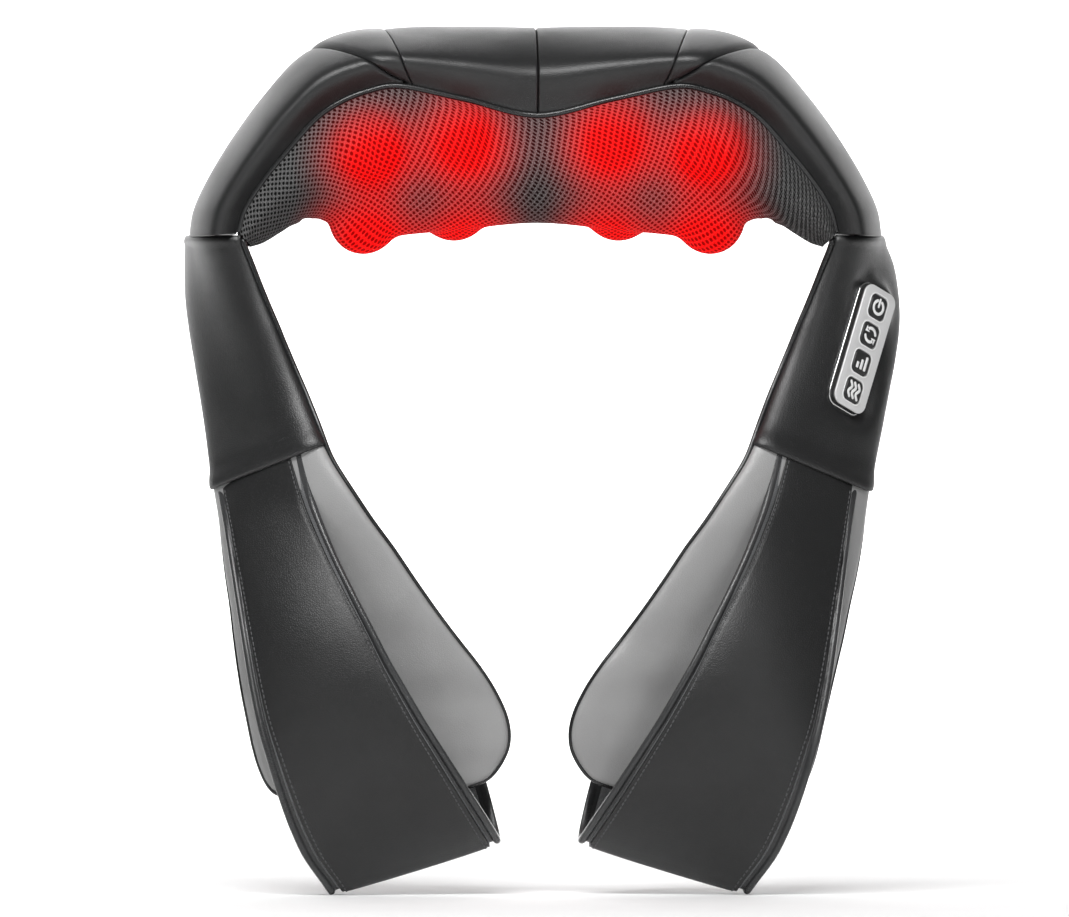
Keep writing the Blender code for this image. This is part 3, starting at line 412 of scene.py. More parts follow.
def tube(name, path, radius, look, sides=14, normal=(0.0, 1.0, 0.0), flat=1.0):
    """A round cord: a circle carried along a path, its ends drawn to a point."""
    path = np.asarray(path, float)
    along = np.gradient(path, axis=0)
    along /= np.linalg.norm(along, axis=1)[:, None]
    side = np.cross(along, normal)
    side /= np.linalg.norm(side, axis=1)[:, None]
    up = np.cross(side, along)
    turn = np.arange(sides) * 2 * np.pi / sides
    radius = np.broadcast_to(np.asarray(radius, float), (len(path),)).copy()
    radius[[0, -1]] *= 0.02
    ring = side[:, None] * np.cos(turn)[None, :, None] + flat * up[:, None] * np.sin(turn)[None, :, None]
    points = path[:, None] + radius[:, None, None] * ring
    rows = len(path)
    faces, down, around = grid_faces(rows, sides, wrap_cols=True)
    length = np.r_[0, np.cumsum(np.linalg.norm(np.diff(path, axis=0), axis=1))]
    uv = np.stack([around * 2 * np.pi * 0.0015 / sides, length[down]], axis=-1)
    cap = np.arange(sides)
    caps = []
    for first in (0, (rows - 1) * sides):
        k = cap[: sides // 2 - 1]
        quad = np.stack([first + k, first + k + 1, first + sides - 2 - k, first + sides - 1 - k], axis=1)
        caps.append(quad if first else quad[:, ::-1])
    flat_points = points.reshape(-1, 3)
    faces_all = np.concatenate([faces] + caps)
    uv_all = np.concatenate([uv, np.zeros((len(caps[0]) * 2, 4, 2))])
    if volume_sign(flat_points, faces_all) < 0:
        faces_all, uv_all = faces_all[:, ::-1], uv_all[:, ::-1]
    return make(name, flat_points, faces_all, look, uv_all)


def loop_rect(wide, tall, corner, count=10, ripple=0.0, pitch=0.001):
    """Outline of a rectangle with round corners, going round once; ripple waves it along its run."""
    out = []
    for turn in range(4):
        cx = (wide / 2 - corner) * (1, -1, -1, 1)[turn]
        cy = (tall / 2 - corner) * (1, 1, -1, -1)[turn]
        a = np.linspace(0, np.pi / 2, count) + turn * np.pi / 2
        out.append(np.stack([cx + corner * np.cos(a), cy + corner * np.sin(a)], axis=1))
    line = np.concatenate(out)
    if ripple:
        closed = np.concatenate([line, line[:1]])
        run = np.r_[0, np.cumsum(np.linalg.norm(np.diff(closed, axis=0), axis=1))]
        waves = round(run[-1] / pitch)
        at = np.linspace(0, run[-1], waves * 6, endpoint=False)
        line = np.stack([np.interp(at, run, closed[:, k]) for k in (0, 1)], axis=1)
        ahead = np.roll(line, -1, axis=0) - np.roll(line, 1, axis=0)
        ahead /= np.linalg.norm(ahead, axis=1)[:, None]
        away = np.stack([ahead[:, 1], -ahead[:, 0]], axis=1)
        line = line + away * (ripple * np.cos(2 * np.pi * waves * at / run[-1]))[:, None]
    return line


def loop_stroke(path, width):
    """Outline of a pen line of even width along a path, with round ends."""
    path = np.asarray(path, float)
    ahead = np.gradient(path, axis=0)
    ahead /= np.linalg.norm(ahead, axis=1)[:, None]
    left = np.stack([-ahead[:, 1], ahead[:, 0]], axis=1) * width / 2
    turn = np.linspace(0, np.pi, 9)[1:-1, None]

    def end(k, way):
        return path[k] + way * left[k] * np.cos(turn) + way * ahead[k] * width / 2 * np.sin(turn)
    return np.concatenate([path + left, end(-1, 1), (path - left)[::-1], end(0, -1)])


def plate(name, loops, place, low, high, edge, look, turn=2):
    """A plate cut to flat outlines, its edges rounded, laid in a frame (across, up, out, centre).

    The first outline is the rim; outlines inside it are windows."""
    curve = bpy.data.curves.new(name, "CURVE")
    curve.dimensions, curve.fill_mode = "2D", "BOTH"
    scale = 1000.0
    for loop in loops:
        spline = curve.splines.new("POLY")
        spline.points.add(len(loop) - 1)
        spline.points.foreach_set("co", np.c_[loop * scale, np.zeros(len(loop)), np.ones(len(loop))].ravel())
        spline.use_cyclic_u = True
    curve.extrude = scale * ((high - low) / 2 - edge)
    curve.bevel_depth = scale * edge
    curve.bevel_resolution = turn
    curve.offset = -scale * edge
    shape = bpy.data.objects.new(name + "_outline", curve)
    bpy.context.scene.collection.objects.link(shape)
    bpy.context.view_layer.update()
    mesh = bpy.data.meshes.new_from_object(shape.evaluated_get(bpy.context.evaluated_depsgraph_get()))
    bpy.data.objects.remove(shape)
    across, up, out, centre = place
    co = np.empty(len(mesh.vertices) * 3)
    mesh.vertices.foreach_get("co", co)
    co = co.reshape(-1, 3) / scale
    co[:, 2] += (low + high) / 2
    laid = centre + co[:, :1] * across + co[:, 1:2] * up + co[:, 2:] * out
    mesh.vertices.foreach_set("co", laid.ravel())
    bm = bmesh.new()
    bm.from_mesh(mesh)
    bmesh.ops.remove_doubles(bm, verts=bm.verts[:], dist=2e-6)
    bmesh.ops.recalc_face_normals(bm, faces=bm.faces[:])
    bm.to_mesh(mesh)
    bm.free()
    mesh.materials.clear()
    mesh.materials.append(look)
    mesh.polygons.foreach_set("use_smooth", np.ones(len(mesh.polygons), bool))
    mesh.set_sharp_from_angle(angle=math.radians(50))
    mesh.name = name
    obj = bpy.data.objects.new(name, mesh)
    bpy.context.scene.collection.objects.link(obj)
    return obj


# ------------------------------------------------------------------ shader building
def add(tree, kind, values=None, **settings):
    """A node with its settings, and with each named socket either set or joined to another."""
    node = tree.nodes.new(kind)
    for key, value in settings.items():
        setattr(node, key, value)
    for key, value in (values or {}).items():
        if isinstance(value, bpy.types.NodeSocket):
            tree.links.new(value, node.inputs[key])
        else:
            node.inputs[key].default_value = value
    return node


def maths(tree, operation, a, b=0.0, clamp=False):
    return add(tree, "ShaderNodeMath", {0: a, 1: b}, operation=operation, use_clamp=clamp).outputs[0]


def ramp(tree, value, low, high, to_low=0.0, to_high=1.0, smooth=True):
    """A value carried from one range to another, held at the ends."""
    kind = "SMOOTHSTEP" if smooth else "LINEAR"
    return add(tree, "ShaderNodeMapRange", {
        "Value": value, "From Min": low, "From Max": high, "To Min": to_low, "To Max": to_high,
    }, interpolation_type=kind).outputs["Result"]


def mixed(tree, share, first, second):
    """Two colours mixed by a share."""
    node = add(tree, "ShaderNodeMix", data_type="RGBA")
    for key, value in ((0, share), (6, first), (7, second)):
        if isinstance(value, bpy.types.NodeSocket):
            tree.links.new(value, node.inputs[key])
        else:
            node.inputs[key].default_value = value
    return node.outputs[2]


def group(name, ins, outs):
    """An empty node group with its sockets; returns the tree and its two end nodes."""
    tree = bpy.data.node_groups.new(name, "ShaderNodeTree")
    for label, value in ins.items():
        kind = "NodeSocketVector" if isinstance(value, tuple) else "NodeSocketFloat"
        socket = tree.interface.new_socket(label, in_out="INPUT", socket_type=kind)
        socket.default_value = value
    for label in outs:
        tree.interface.new_socket(label, in_out="OUTPUT", socket_type="NodeSocketFloat")
    return tree, tree.nodes.new("NodeGroupInput"), tree.nodes.new("NodeGroupOutput")


def leather_grain():
    """Embossed hide: small cells with sunk edges, under soft creases and slow shade changes."""
    tree, put, out = group("leather_grain", {"Vector": (0.0, 0.0, 0.0), "Cells": 700.0},
                           ("Height", "Tone"))
    cells = add(tree, "ShaderNodeTexVoronoi", {
        "Vector": put.outputs["Vector"], "Scale": put.outputs["Cells"], "Randomness": 0.9},
        feature="DISTANCE_TO_EDGE")
    pebble = ramp(tree, cells.outputs["Distance"], 0.0, 0.22)
    creases = add(tree, "ShaderNodeTexNoise", {
        "Vector": put.outputs["Vector"], "Scale": 160.0, "Detail": 3.0, "Roughness": 0.6})
    height = maths(tree, "ADD", maths(tree, "MULTIPLY", pebble, 0.6),
                   maths(tree, "MULTIPLY", creases.outputs["Fac"], 0.8))
    slow = add(tree, "ShaderNodeTexNoise", {
        "Vector": put.outputs["Vector"], "Scale": 22.0, "Detail": 2.0, "Roughness": 0.5})
    tone = maths(tree, "ADD", ramp(tree, slow.outputs["Fac"], 0.3, 0.7, 0.0, 0.8),
                 maths(tree, "MULTIPLY", pebble, 0.2))
    tree.links.new(height, out.inputs["Height"])
    tree.links.new(tone, out.inputs["Tone"])
    return tree


def lattice(tree, u, v, across, down, shift):
    """Distance from the middle of each cell of a lattice, measured in shares of the cell."""
    x = maths(tree, "ADD", maths(tree, "DIVIDE", u, across), shift)
    y = maths(tree, "ADD", maths(tree, "DIVIDE", v, down), shift)
    x = maths(tree, "SUBTRACT", maths(tree, "FRACT", x), 0.5)
    y = maths(tree, "SUBTRACT", maths(tree, "FRACT", y), 0.5)
    return maths(tree, "SQRT", maths(tree, "ADD", maths(tree, "MULTIPLY", x, x),
                                     maths(tree, "MULTIPLY", y, y)))


def air_mesh():
    """Spacer knit: round holes in staggered rows, with yarn ridges running round them, and bright flecks on
    the yarn for painted fibre glints.
    """
    tree, put, out = group("air_mesh", {"UV": (0.0, 0.0, 0.0), "Across": 0.0038, "Down": 0.0042},
                           ("Yarn", "Height", "Fibre_glint"))
    noise = add(tree, "ShaderNodeTexNoise", {"Vector": put.outputs["UV"], "Scale": 260.0, "Detail": 2.0})
    waver = add(tree, "ShaderNodeVectorMath", {0: noise.outputs["Color"], 1: (0.5, 0.5, 0.5)},
                operation="SUBTRACT")
    waver = add(tree, "ShaderNodeVectorMath", {0: waver.outputs[0], "Scale": 0.0007}, operation="SCALE")
    place = add(tree, "ShaderNodeVectorMath", {0: put.outputs["UV"], 1: waver.outputs[0]}, operation="ADD")
    split = add(tree, "ShaderNodeSeparateXYZ", {0: place.outputs[0]})
    sides = [lattice(tree, split.outputs[0], split.outputs[1], put.outputs["Across"],
                     put.outputs["Down"], shift) for shift in (0.0, 0.5)]
    far = maths(tree, "MINIMUM", sides[0], sides[1])
    yarn = ramp(tree, far, 0.16, 0.31)
    fibre_glint = add(tree, "ShaderNodeTexNoise", {
        "Vector": put.outputs["UV"], "Scale": 2600.0, "Detail": 2.0, "Roughness": 0.7})
    strands = add(tree, "ShaderNodeTexWave", {
        "Vector": put.outputs["UV"], "Scale": 420.0, "Distortion": 5.0, "Detail": 2.0,
        "Detail Scale": 1.5}, wave_type="BANDS", bands_direction="DIAGONAL")
    # flecks: fibre specks, used as a fine bump and, through the glint output, as painted glints in the colour
    flecks = maths(tree, "MULTIPLY", ramp(tree, fibre_glint.outputs["Fac"], 0.42, 0.68), strands.outputs["Fac"])
    height = maths(tree, "ADD", yarn, maths(tree, "MULTIPLY", flecks, 0.35))
    tree.links.new(yarn, out.inputs["Yarn"])
    tree.links.new(height, out.inputs["Height"])
    tree.links.new(flecks, out.inputs["Fibre_glint"])
    return tree


def plain_weave():
    """Over-and-under cloth: two sets of round threads crossing, worn a little uneven."""
    tree, put, out = group("plain_weave", {"UV": (0.0, 0.0, 0.0), "Thread": 0.0006},
                           ("Height", "Tone"))
    split = add(tree, "ShaderNodeSeparateXYZ", {0: put.outputs["UV"]})
    waves = [maths(tree, "SINE", maths(tree, "MULTIPLY", maths(
        tree, "DIVIDE", split.outputs[k], put.outputs["Thread"]), math.pi)) for k in (0, 1)]
    cross = maths(tree, "MULTIPLY", waves[0], waves[1])
    height = maths(tree, "ADD", maths(tree, "MULTIPLY", cross, 0.5), 0.5)
    noise = add(tree, "ShaderNodeTexNoise", {"Vector": put.outputs["UV"], "Scale": 90.0, "Detail": 3.0})
    tone = maths(tree, "ADD", maths(tree, "MULTIPLY", height, 0.5),
                 maths(tree, "MULTIPLY", noise.outputs["Fac"], 0.5))
    tree.links.new(height, out.inputs["Height"])
    tree.links.new(tone, out.inputs["Tone"])
    return tree


def moulded_grain():
    """Fine speckle and slow waviness of a moulded, cast or turned surface."""
    tree, put, out = group("moulded_grain", {"Vector": (0.0, 0.0, 0.0), "Fine": 1500.0},
                           ("Height", "Tone"))
    fine = add(tree, "ShaderNodeTexNoise", {
        "Vector": put.outputs["Vector"], "Scale": put.outputs["Fine"], "Detail": 2.0})
    slow = add(tree, "ShaderNodeTexNoise", {"Vector": put.outputs["Vector"], "Scale": 35.0, "Detail": 3.0})
    tone = maths(tree, "ADD", maths(tree, "MULTIPLY", slow.outputs["Fac"], 0.7),
                 maths(tree, "MULTIPLY", fine.outputs["Fac"], 0.3))
    tree.links.new(fine.outputs["Fac"], out.inputs["Height"])
    tree.links.new(tone, out.inputs["Tone"])
    return tree


GRAIN, KNIT, WEAVE, SPECK = leather_grain(), air_mesh(), plain_weave(), moulded_grain()


def place_group(tree, kind, values):
    node = add(tree, "ShaderNodeGroup", node_tree=kind)
    for key, value in values.items():
        if isinstance(value, bpy.types.NodeSocket):
            tree.links.new(value, node.inputs[key])
        else:
            node.inputs[key].default_value = value
    return node


def blank(name, rough, metal=0.0, specular=0.5):
    """A material's tree, its shader and its texture coordinates."""
    look = bpy.data.materials.new(name)
    look.use_nodes = True
    tree = look.node_tree
    shader = tree.nodes["Principled BSDF"]
    shader.inputs["Roughness"].default_value = rough
    shader.inputs["Metallic"].default_value = metal
    shader.inputs["Specular IOR Level"].default_value = specular
    return look, tree, shader, tree.nodes.new("ShaderNodeTexCoord")


def grey(value, tint=(1.0, 1.0, 1.0)):
    return tuple(value * t for t in tint) + (1.0,)


def bump(tree, shader, height, distance, strength=1.0):
    node = add(tree, "ShaderNodeBump", {"Height": height, "Distance": distance, "Strength": strength})
    tree.links.new(node.outputs["Normal"], shader.inputs["Normal"])


def textured(name, kind, dark, light, rough, spread=0.08, metal=0.0, distance=0.0001, specular=0.5,
             coordinate="Object", **values):
    """A finish from one of the grain groups: two colours by its tone, roughness and bump from it."""
    look, tree, shader, texture = blank(name, rough, metal, specular)
    entry = "UV" if "UV" in [s.name for s in kind.interface.items_tree] else "Vector"
    grain = place_group(tree, kind, {entry: texture.outputs[coordinate], **values})
    tone = grain.outputs["Tone"]
    tree.links.new(mixed(tree, tone, dark, light), shader.inputs["Base Color"])
    tree.links.new(ramp(tree, tone, 0.0, 1.0, rough + spread, rough - spread, False),
                   shader.inputs["Roughness"])
    bump(tree, shader, grain.outputs["Height"], distance)
    return look, tree, shader


COOL = (0.98, 1.0, 1.03)
black_leather = textured("black_leather", GRAIN, grey(0.010, COOL), grey(0.015, COOL), 0.40, 0.04,
                         distance=0.00008, specular=0.55, Cells=750.0)[0]
strap_leather = textured("strap_leather", GRAIN, grey(0.009, COOL), grey(0.013, COOL), 0.42, 0.04,
                         distance=0.00008, specular=0.52, Cells=750.0)[0]
grey_leather = textured("grey_leather", GRAIN, grey(0.27), grey(0.31), 0.36, 0.04,
                        distance=0.00008, specular=0.5, Cells=800.0)[0]
binding_look = textured("binding_tape", GRAIN, grey(0.030, COOL), grey(0.045, COOL), 0.24, 0.04,
                        distance=0.00006, Cells=900.0)[0]
piping_look = textured("piping_leather", GRAIN, grey(0.012, COOL), grey(0.020, COOL), 0.20, 0.03,
                       distance=0.00004, Cells=900.0)[0]
lining_look = textured("lining_cloth", WEAVE, grey(0.10, COOL), grey(0.22, COOL), 0.80, 0.06,
                       distance=0.0002, coordinate="UV", Thread=0.0008)[0]
thread_look = textured("seam_thread", SPECK, grey(0.055, COOL), grey(0.10, COOL), 0.60, 0.05,
                       Fine=5000.0)[0]
seam_look = textured("seam_shadow", SPECK, grey(0.006), grey(0.010), 0.75, 0.05, Fine=3000.0)[0]
housing_look = textured("housing_plastic", SPECK, grey(0.014), grey(0.022), 0.34, 0.05,
                        distance=0.00003)[0]
face_look = textured("face_plate_silver", SPECK, grey(0.66), grey(0.74), 0.30, 0.04, 0.12,
                     distance=0.00002, Fine=2600.0)[0]
trim_look = textured("trim_chrome", SPECK, grey(0.62), grey(0.72), 0.16, 0.03, 1.0,
                     distance=0.00001)[0]
button_look = textured("button_plastic", SPECK, grey(0.018), grey(0.026), 0.30, 0.04,
                       distance=0.00003)[0]
mark_look = textured("printed_white", SPECK, grey(0.80), grey(0.90), 0.45, 0.03)[0]
hidden_looks = {
    "neck_foam": ("foam_grey", grey(0.10), grey(0.16), 0.9, 0.0, 900.0),
    "arm_foam": ("foam_grey", grey(0.10), grey(0.16), 0.9, 0.0, 900.0),
    "backbone": ("glass_filled_nylon", grey(0.020), grey(0.034), 0.55, 0.0, 1300.0),
    "gearbox": ("gearbox_nylon", grey(0.028), grey(0.042), 0.5, 0.0, 1300.0),
    "motor": ("zinc_plate", grey(0.50), grey(0.62), 0.32, 1.0, 700.0),
    "worm_wheel": ("acetal_ivory", (0.62, 0.58, 0.46, 1), (0.70, 0.66, 0.55, 1), 0.42, 0.0, 1100.0),
    "worm": ("worm_steel", grey(0.46), grey(0.56), 0.28, 1.0, 1800.0),
    "head_axle": ("axle_steel", grey(0.56), grey(0.66), 0.22, 1.0, 2200.0),
    "head_carrier": ("carrier_plastic", grey(0.016), grey(0.026), 0.48, 0.0, 1300.0),
    "node_": ("node_rubber", (0.055, 0.008, 0.008, 1), (0.09, 0.012, 0.012, 1), 0.55, 0.0, 1600.0),
    "heat_lamp": ("lamp_red", (0.62, 0.01, 0.008, 1), (0.80, 0.02, 0.012, 1), 0.18, 0.0, 900.0),
    "control_board": ("solder_mask", (0.006, 0.07, 0.026, 1), (0.012, 0.12, 0.045, 1), 0.35, 0.0, 420.0),
    "power_jack": ("dust_plug_rubber", grey(0.018), grey(0.028), 0.55, 0.0, 1500.0),
}


def mesh_cloth():
    """Black air mesh with a painted red glow: emission and a red base colour on the cloth itself where the
    warm nodes lie under it, standing in for their lamp light shining through.
    """
    look, tree, shader, texture = blank("air_mesh_black_painted_glow", 0.88, specular=0.05)
    knit = place_group(tree, KNIT, {"UV": texture.outputs["UV"]})
    yarn, fibre_glint = knit.outputs["Yarn"], knit.outputs["Fibre_glint"]
    painted_glow = add(tree, "ShaderNodeAttribute", attribute_name="painted_glow").outputs["Fac"]
    # holes near-black against the yarn: painted shade down in the knit's holes
    base = mixed(tree, yarn, grey(0.004), grey(0.070))
    # light grey flecks on the yarn: painted glints off the fibres
    base = mixed(tree, maths(tree, "MULTIPLY", fibre_glint, yarn), base, grey(0.42))
    # warm: red base colour under the painted glow, a painted red cast of the lamp light on the black cloth
    warm = mixed(tree, yarn, (0.03, 0.0, 0.0, 1), (0.10, 0.0, 0.0, 1))
    tree.links.new(mixed(tree, maths(tree, "MULTIPLY", painted_glow, 0.9), base, warm), shader.inputs["Base Color"])
    # light: emitted colour of the painted glow, dimmer over the holes than on the yarn
    light = mixed(tree, yarn, (0.34, 0.0, 0.0, 1), (1.0, 0.0, 0.0, 1))
    tree.links.new(mixed(tree, painted_glow, (0, 0, 0, 1), light), shader.inputs["Emission Color"])
    shader.inputs["Emission Strength"].default_value = 1.0
    bump(tree, shader, knit.outputs["Height"], 0.0009, 0.9)
    return look


mesh_look = mesh_cloth()

# ------------------------------------------------------------------ collar leather
COLLAR_INSIDE = np.array((0.0, 0.045, 0.02))
LEATHER = 0.0014


def collar_cover(name, side, start, stop, count, tops, crown):
    """One leather panel of the collar between two seams, its seamed edges turned in.

    start and stop give the stations of its seams for a row's share of the section; crown lifts
    the middle by a sine each way."""
    share = 0.005 + 0.991 * clustered(84, 0.03)
    rows = np.clip((share - 0.014) / 0.982, 0, 1)
    across = clustered(count, 0.06 if count < 30 else 0.03)
    a, b = start(rows)[:, None], stop(rows)[:, None]
    u = a * (1 - across) + b * across
    grid = sided(collar_surface(u, np.repeat(share[:, None], len(across), axis=1)), side)
    normal = facing_out(grid, COLLAR_INSIDE)
    puff = crown * np.sin(np.pi * across)[None, :] ** 0.6 * np.sin(np.pi * np.clip(rows, 0, 1))[:, None] ** 0.5
    outer = grid + (puff - edge_rolls(grid, tops))[..., None] * normal
    inner = grid - (LEATHER + 0.0016) * normal
    piece = skin(f"{name}_{'right' if side > 0 else 'left'}", outer, inner, black_leather, lengths_uv(grid))
    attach(piece, "collar")
    return piece


def fold(rows):
    """How far the gusset has opened at a share of the section: fast at first, then steady."""
    return np.clip(rows / 0.42, 0, 1) ** 0.62


thin_seam, deep_seam = (0.0011, 0.0013), (0.0060, 0.0024)
for side, label in ((1, "right"), (-1, "left")):
    spans = (
        ("center", lambda r: 0 * r + 0.0012, lambda r: 1.799 + 0.28 * fold(r), 44,
         ((0.0012, 0.0005), (0.004, 0.002), (0.0013, 0.0018), thin_seam), 0.0008),
        ("gusset", lambda r: 1.801 + 0.28 * fold(r), lambda r: 1.94 + 1.81 * fold(r), 36,
         ((0.0012, 0.0005), (0.004, 0.002), thin_seam, deep_seam), 0.0026),
        ("side", lambda r: 1.942 + 1.81 * fold(r), lambda r: 0 * r + STATIONS, 90,
         ((0.0012, 0.0005), (0.004, 0.002), (0.0030, 0.0022), None), 0.0006),
    )
    cad_names = {"center": "neck_cover_center_", "gusset": "corner_gusset_", "side": "side_cover_"}
    for name, start, stop, count, tops, crown in spans:
        piece = collar_cover("cover_" + name, side, start, stop, count, tops, crown)
        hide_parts(cad_names[name] + label)

# ------------------------------------------------------------------ air mesh over the heads
node_centres = []
for name in NODES:
    if name.startswith("node_"):
        low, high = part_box(name)
        node_centres.append((np.array(low) + np.array(high)) / 2)
node_centres = np.array(node_centres)
HEAD_AXIS = np.array((-0.275637, -0.76262, -0.585179))
NODE_R, MESH_CLOTH, TENT = 0.012, 0.0012, 1.25


def air_mesh_cover():
    """The knitted cover: the collar's front and underside, lifted to a soft tent by each node.

    Every node adds a cone with a round top; the cones blend by a soft maximum."""
    u = np.linspace(-8.97, 8.97, 281)
    grid = even_rows(mesh_lines(u), 111, PIPING_R * 0.6, 0.0008).transpose(1, 0, 2)
    normal = facing_out(grid, COLLAR_INSIDE)
    give, clear, soft = 0.0030, NODE_R + MESH_CLOTH + 0.0012, 0.0195
    total = np.zeros(grid.shape[:2])
    for centre in node_centres:
        axis = HEAD_AXIS * (np.sign(centre[0]), 1, 1)
        ball = centre + axis * (0.0012 + clear - soft)
        away = grid - ball
        rise = (away * normal).sum(axis=2)
        wide = np.sqrt(np.maximum((away ** 2).sum(axis=2) - rise ** 2, 0))
        cone = soft * math.hypot(1, TENT) - TENT * wide
        dome = np.sqrt(np.maximum(soft ** 2 - wide ** 2, 0))
        tent = np.where(wide < soft * TENT / math.hypot(1, TENT), dome, cone)
        tent = tent - 1.3 * np.maximum(np.linalg.norm(away, axis=2) - 0.030, 0)
        total += np.exp(np.clip((tent - rise) / give, -30, 30))
    held = np.minimum(1.0, 9 * np.sin(np.linspace(0, np.pi, grid.shape[0])))
    outer = grid + (give * np.log1p(total) * held[:, None])[..., None] * normal
    inner = outer - MESH_CLOTH * normal
    # heat: strength of the painted red glow on the cloth, falling off round each node
    heat = np.zeros(grid.shape[:2])
    for centre in node_centres:
        axis = HEAD_AXIS * (np.sign(centre[0]), 1, 1)
        away = np.linalg.norm(outer - (centre + 0.010 * axis), axis=2)
        heat += 1.2 * np.exp(-(away / 0.0262) ** 2.4)
    painted_glow = np.clip(heat - 0.01, 0, 1)
    piece = skin("air_mesh_cover", outer, inner, mesh_look, lengths_uv(grid), {"painted_glow": painted_glow})
    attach(piece, "collar")
    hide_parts("massage_mesh")
    return outer


mesh_grid = air_mesh_cover()

# ------------------------------------------------------------------ piping round the mesh
table = through(WHOLE, np.linspace(0.0, 2 * STATIONS, 320))
neck_cord = tube("neck_piping_cord", space(table[:, 2], table[:, 4], table[:, 3]), PIPING_R + 0.0002,
                 piping_look, 14)
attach(neck_cord, "collar")
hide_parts("neck_piping")

# ------------------------------------------------------------------ key panel frame
flat_axis = np.cross((0, 0, 1), PANEL_OUT)
tall_axis = np.cross(PANEL_OUT, flat_axis)
lean_c, lean_s = math.cos(PANEL_LEAN), math.sin(PANEL_LEAN)
panel_up = tall_axis * lean_c + flat_axis * lean_s
panel_across = flat_axis * lean_c - tall_axis * lean_s
plate_low, plate_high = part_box("control_bezel")
face_middle = PANEL_PROUD + 0.0009
panel_centre = (np.array(plate_low) + np.array(plate_high)) / 2 - PANEL_OUT * face_middle
PANEL = (panel_across, panel_up, PANEL_OUT, panel_centre)


def past_panel(points):
    """Distance of points outside the key panel's outline (negative inside) and height off its plane."""
    local = points - panel_centre
    x, y, z = (local @ axis for axis in (panel_across, panel_up, PANEL_OUT))
    dx = np.abs(x) - (PANEL_W / 2 - PANEL_CORNER)
    dy = np.abs(y) - (PANEL_L / 2 - PANEL_CORNER)
    outside = np.hypot(np.maximum(dx, 0), np.maximum(dy, 0)) + np.minimum(np.maximum(dx, dy), 0)
    return outside - PANEL_CORNER, z


def shoulder_cover(side, label):
    """Leather sleeve from the shoulder seam to the slanting hem, drawn up round the key panel."""
    theta = np.linspace(0, 2 * np.pi, 145)[:-1] + 0.0
    steps = clustered(84, 0.04, 7)[:, None]
    height = -27.2 * (1 - steps) + (hem(theta, side)[None, :] - 0.6) * steps
    grid = sided(arm_surface(theta[None, :] + 0 * height, height, -0.0003, side), side)
    middle = np.array((0.178 * side, 0.028, -0.09))
    closed = np.concatenate([grid[:, -1:], grid, grid[:, :1]], axis=1)
    normal = facing_out(closed, middle)[:, 1:-1]
    down = spaced(grid.transpose(1, 0, 2)).T
    crown = 0.0010 * np.sin(np.pi * np.clip(steps, 0, 1)) ** 0.5
    front = np.clip(np.sin(theta) * 1.6, 0, 1)[None, :]
    lip = (0.0012 + 0.0022 * front) * np.exp(-(np.maximum(down[-1:] - down - 0.0022, 0) / 0.0085) ** 2)
    top = 0.0007 * np.exp(-((down - 0.0035) / 0.0022) ** 2)
    tuck = 0.0006 * np.exp(-(np.angle(np.exp(1j * theta)) / 0.03) ** 2)[None, :]
    lift = crown + lip + top - tuck - roll(down, 0.0016, 0.0012) - roll(down[-1:] - down, 0.0016, 0.0012)
    outer = grid + lift[..., None] * normal
    if side > 0:
        outside, out = past_panel(outer)
        pull = np.where(outside < 0, 1.0, np.exp(-(np.maximum(outside, 0) / 0.0065) ** 2))
        target = np.where(outside < -0.0012, -0.0030, -0.0002 - 0.0006 * np.exp(-(outside / 0.0012) ** 2))
        near = np.abs(out) < 0.02
        outer = outer + (pull * near * (target - out))[..., None] * PANEL_OUT
    inner = grid - (LEATHER - lip)[..., None] * normal
    if side > 0:
        inner = inner + (pull * near * (target - out))[..., None] * PANEL_OUT * 0.9
        outside, out = past_panel(inner)
    uv = lengths_uv(grid, wrap=True)
    piece = skin("shoulder_sleeve_" + label, outer, inner, black_leather, uv, wrap=True)
    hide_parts("shoulder_cover_" + label)
    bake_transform(piece)


def pad_half(name, side, label, low, high, look, crown):
    """One face of the padded arm: a crowned shell that draws in to the seam at its edges."""
    theta = low + (high - low) * clustered(70, 0.05, 8)
    share = clustered(150, 0.02, 8)[:, None]
    height = (hem(theta, side)[None, :] + 2.0) * (1 - share) - 353.6 * share
    across = (theta - low) / (high - low)
    grid = sided(arm_surface(theta[None, :] + 0 * height, height, 0.0, side), side)
    normal = facing_out(grid, np.array((0.105 * side, -0.012, -0.27)))
    puff = crown * np.sin(np.pi * across)[None, :] ** 0.8 * np.sin(np.pi * (0.25 + 0.75 * share)) ** 0.7
    turn = edge_rolls(grid, (None, (0.004, 0.0018), (0.0030, 0.0012), (0.0030, 0.0012)))
    outer = grid + (puff - turn)[..., None] * normal
    inner = grid - (0.0032 + 0 * share)[..., None] * normal
    piece = skin(f"{name}_{label}", outer, inner, look, lengths_uv(grid))
    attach(piece, f"{label}_arm")
    return piece


def arm_cord(side, label):
    """Piping down the arm's inner edge, round the end of the pad and up the outer edge."""
    down = -np.r_[np.arange(28.5, 340, 4.0), np.linspace(340, 354.2, 12)]
    tuck = np.interp(-down, (140.0, 156.0), (-PIPING_R, 0.0002))
    inner = arm_surface(np.zeros(len(down)), down, tuck, side)
    up = -np.r_[np.linspace(354.2, 340, 12), np.arange(336, 182, -4.0)]
    outer = arm_surface(np.full(len(up), np.pi), up, np.full(len(up), 0.0002), side)
    across = inner[-1] * (1 - np.linspace(0, 1, 24)[1:-1, None]) + outer[0] * np.linspace(0, 1, 24)[1:-1, None]
    across[:, 2] -= 0.0012 * np.sin(np.pi * np.linspace(0, 1, 24)[1:-1])
    path = np.concatenate([inner, across, outer])
    path = even_rows(path[None], 420)[0]
    for _ in range(6):
        path[1:-1] = (path[:-2] + 2 * path[1:-1] + path[2:]) / 4
    cord = tube("arm_piping_cord_" + label, sided(path, side), PIPING_R + 0.0001, piping_look, 12)
    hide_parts("arm_piping_" + label)
    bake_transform(cord)


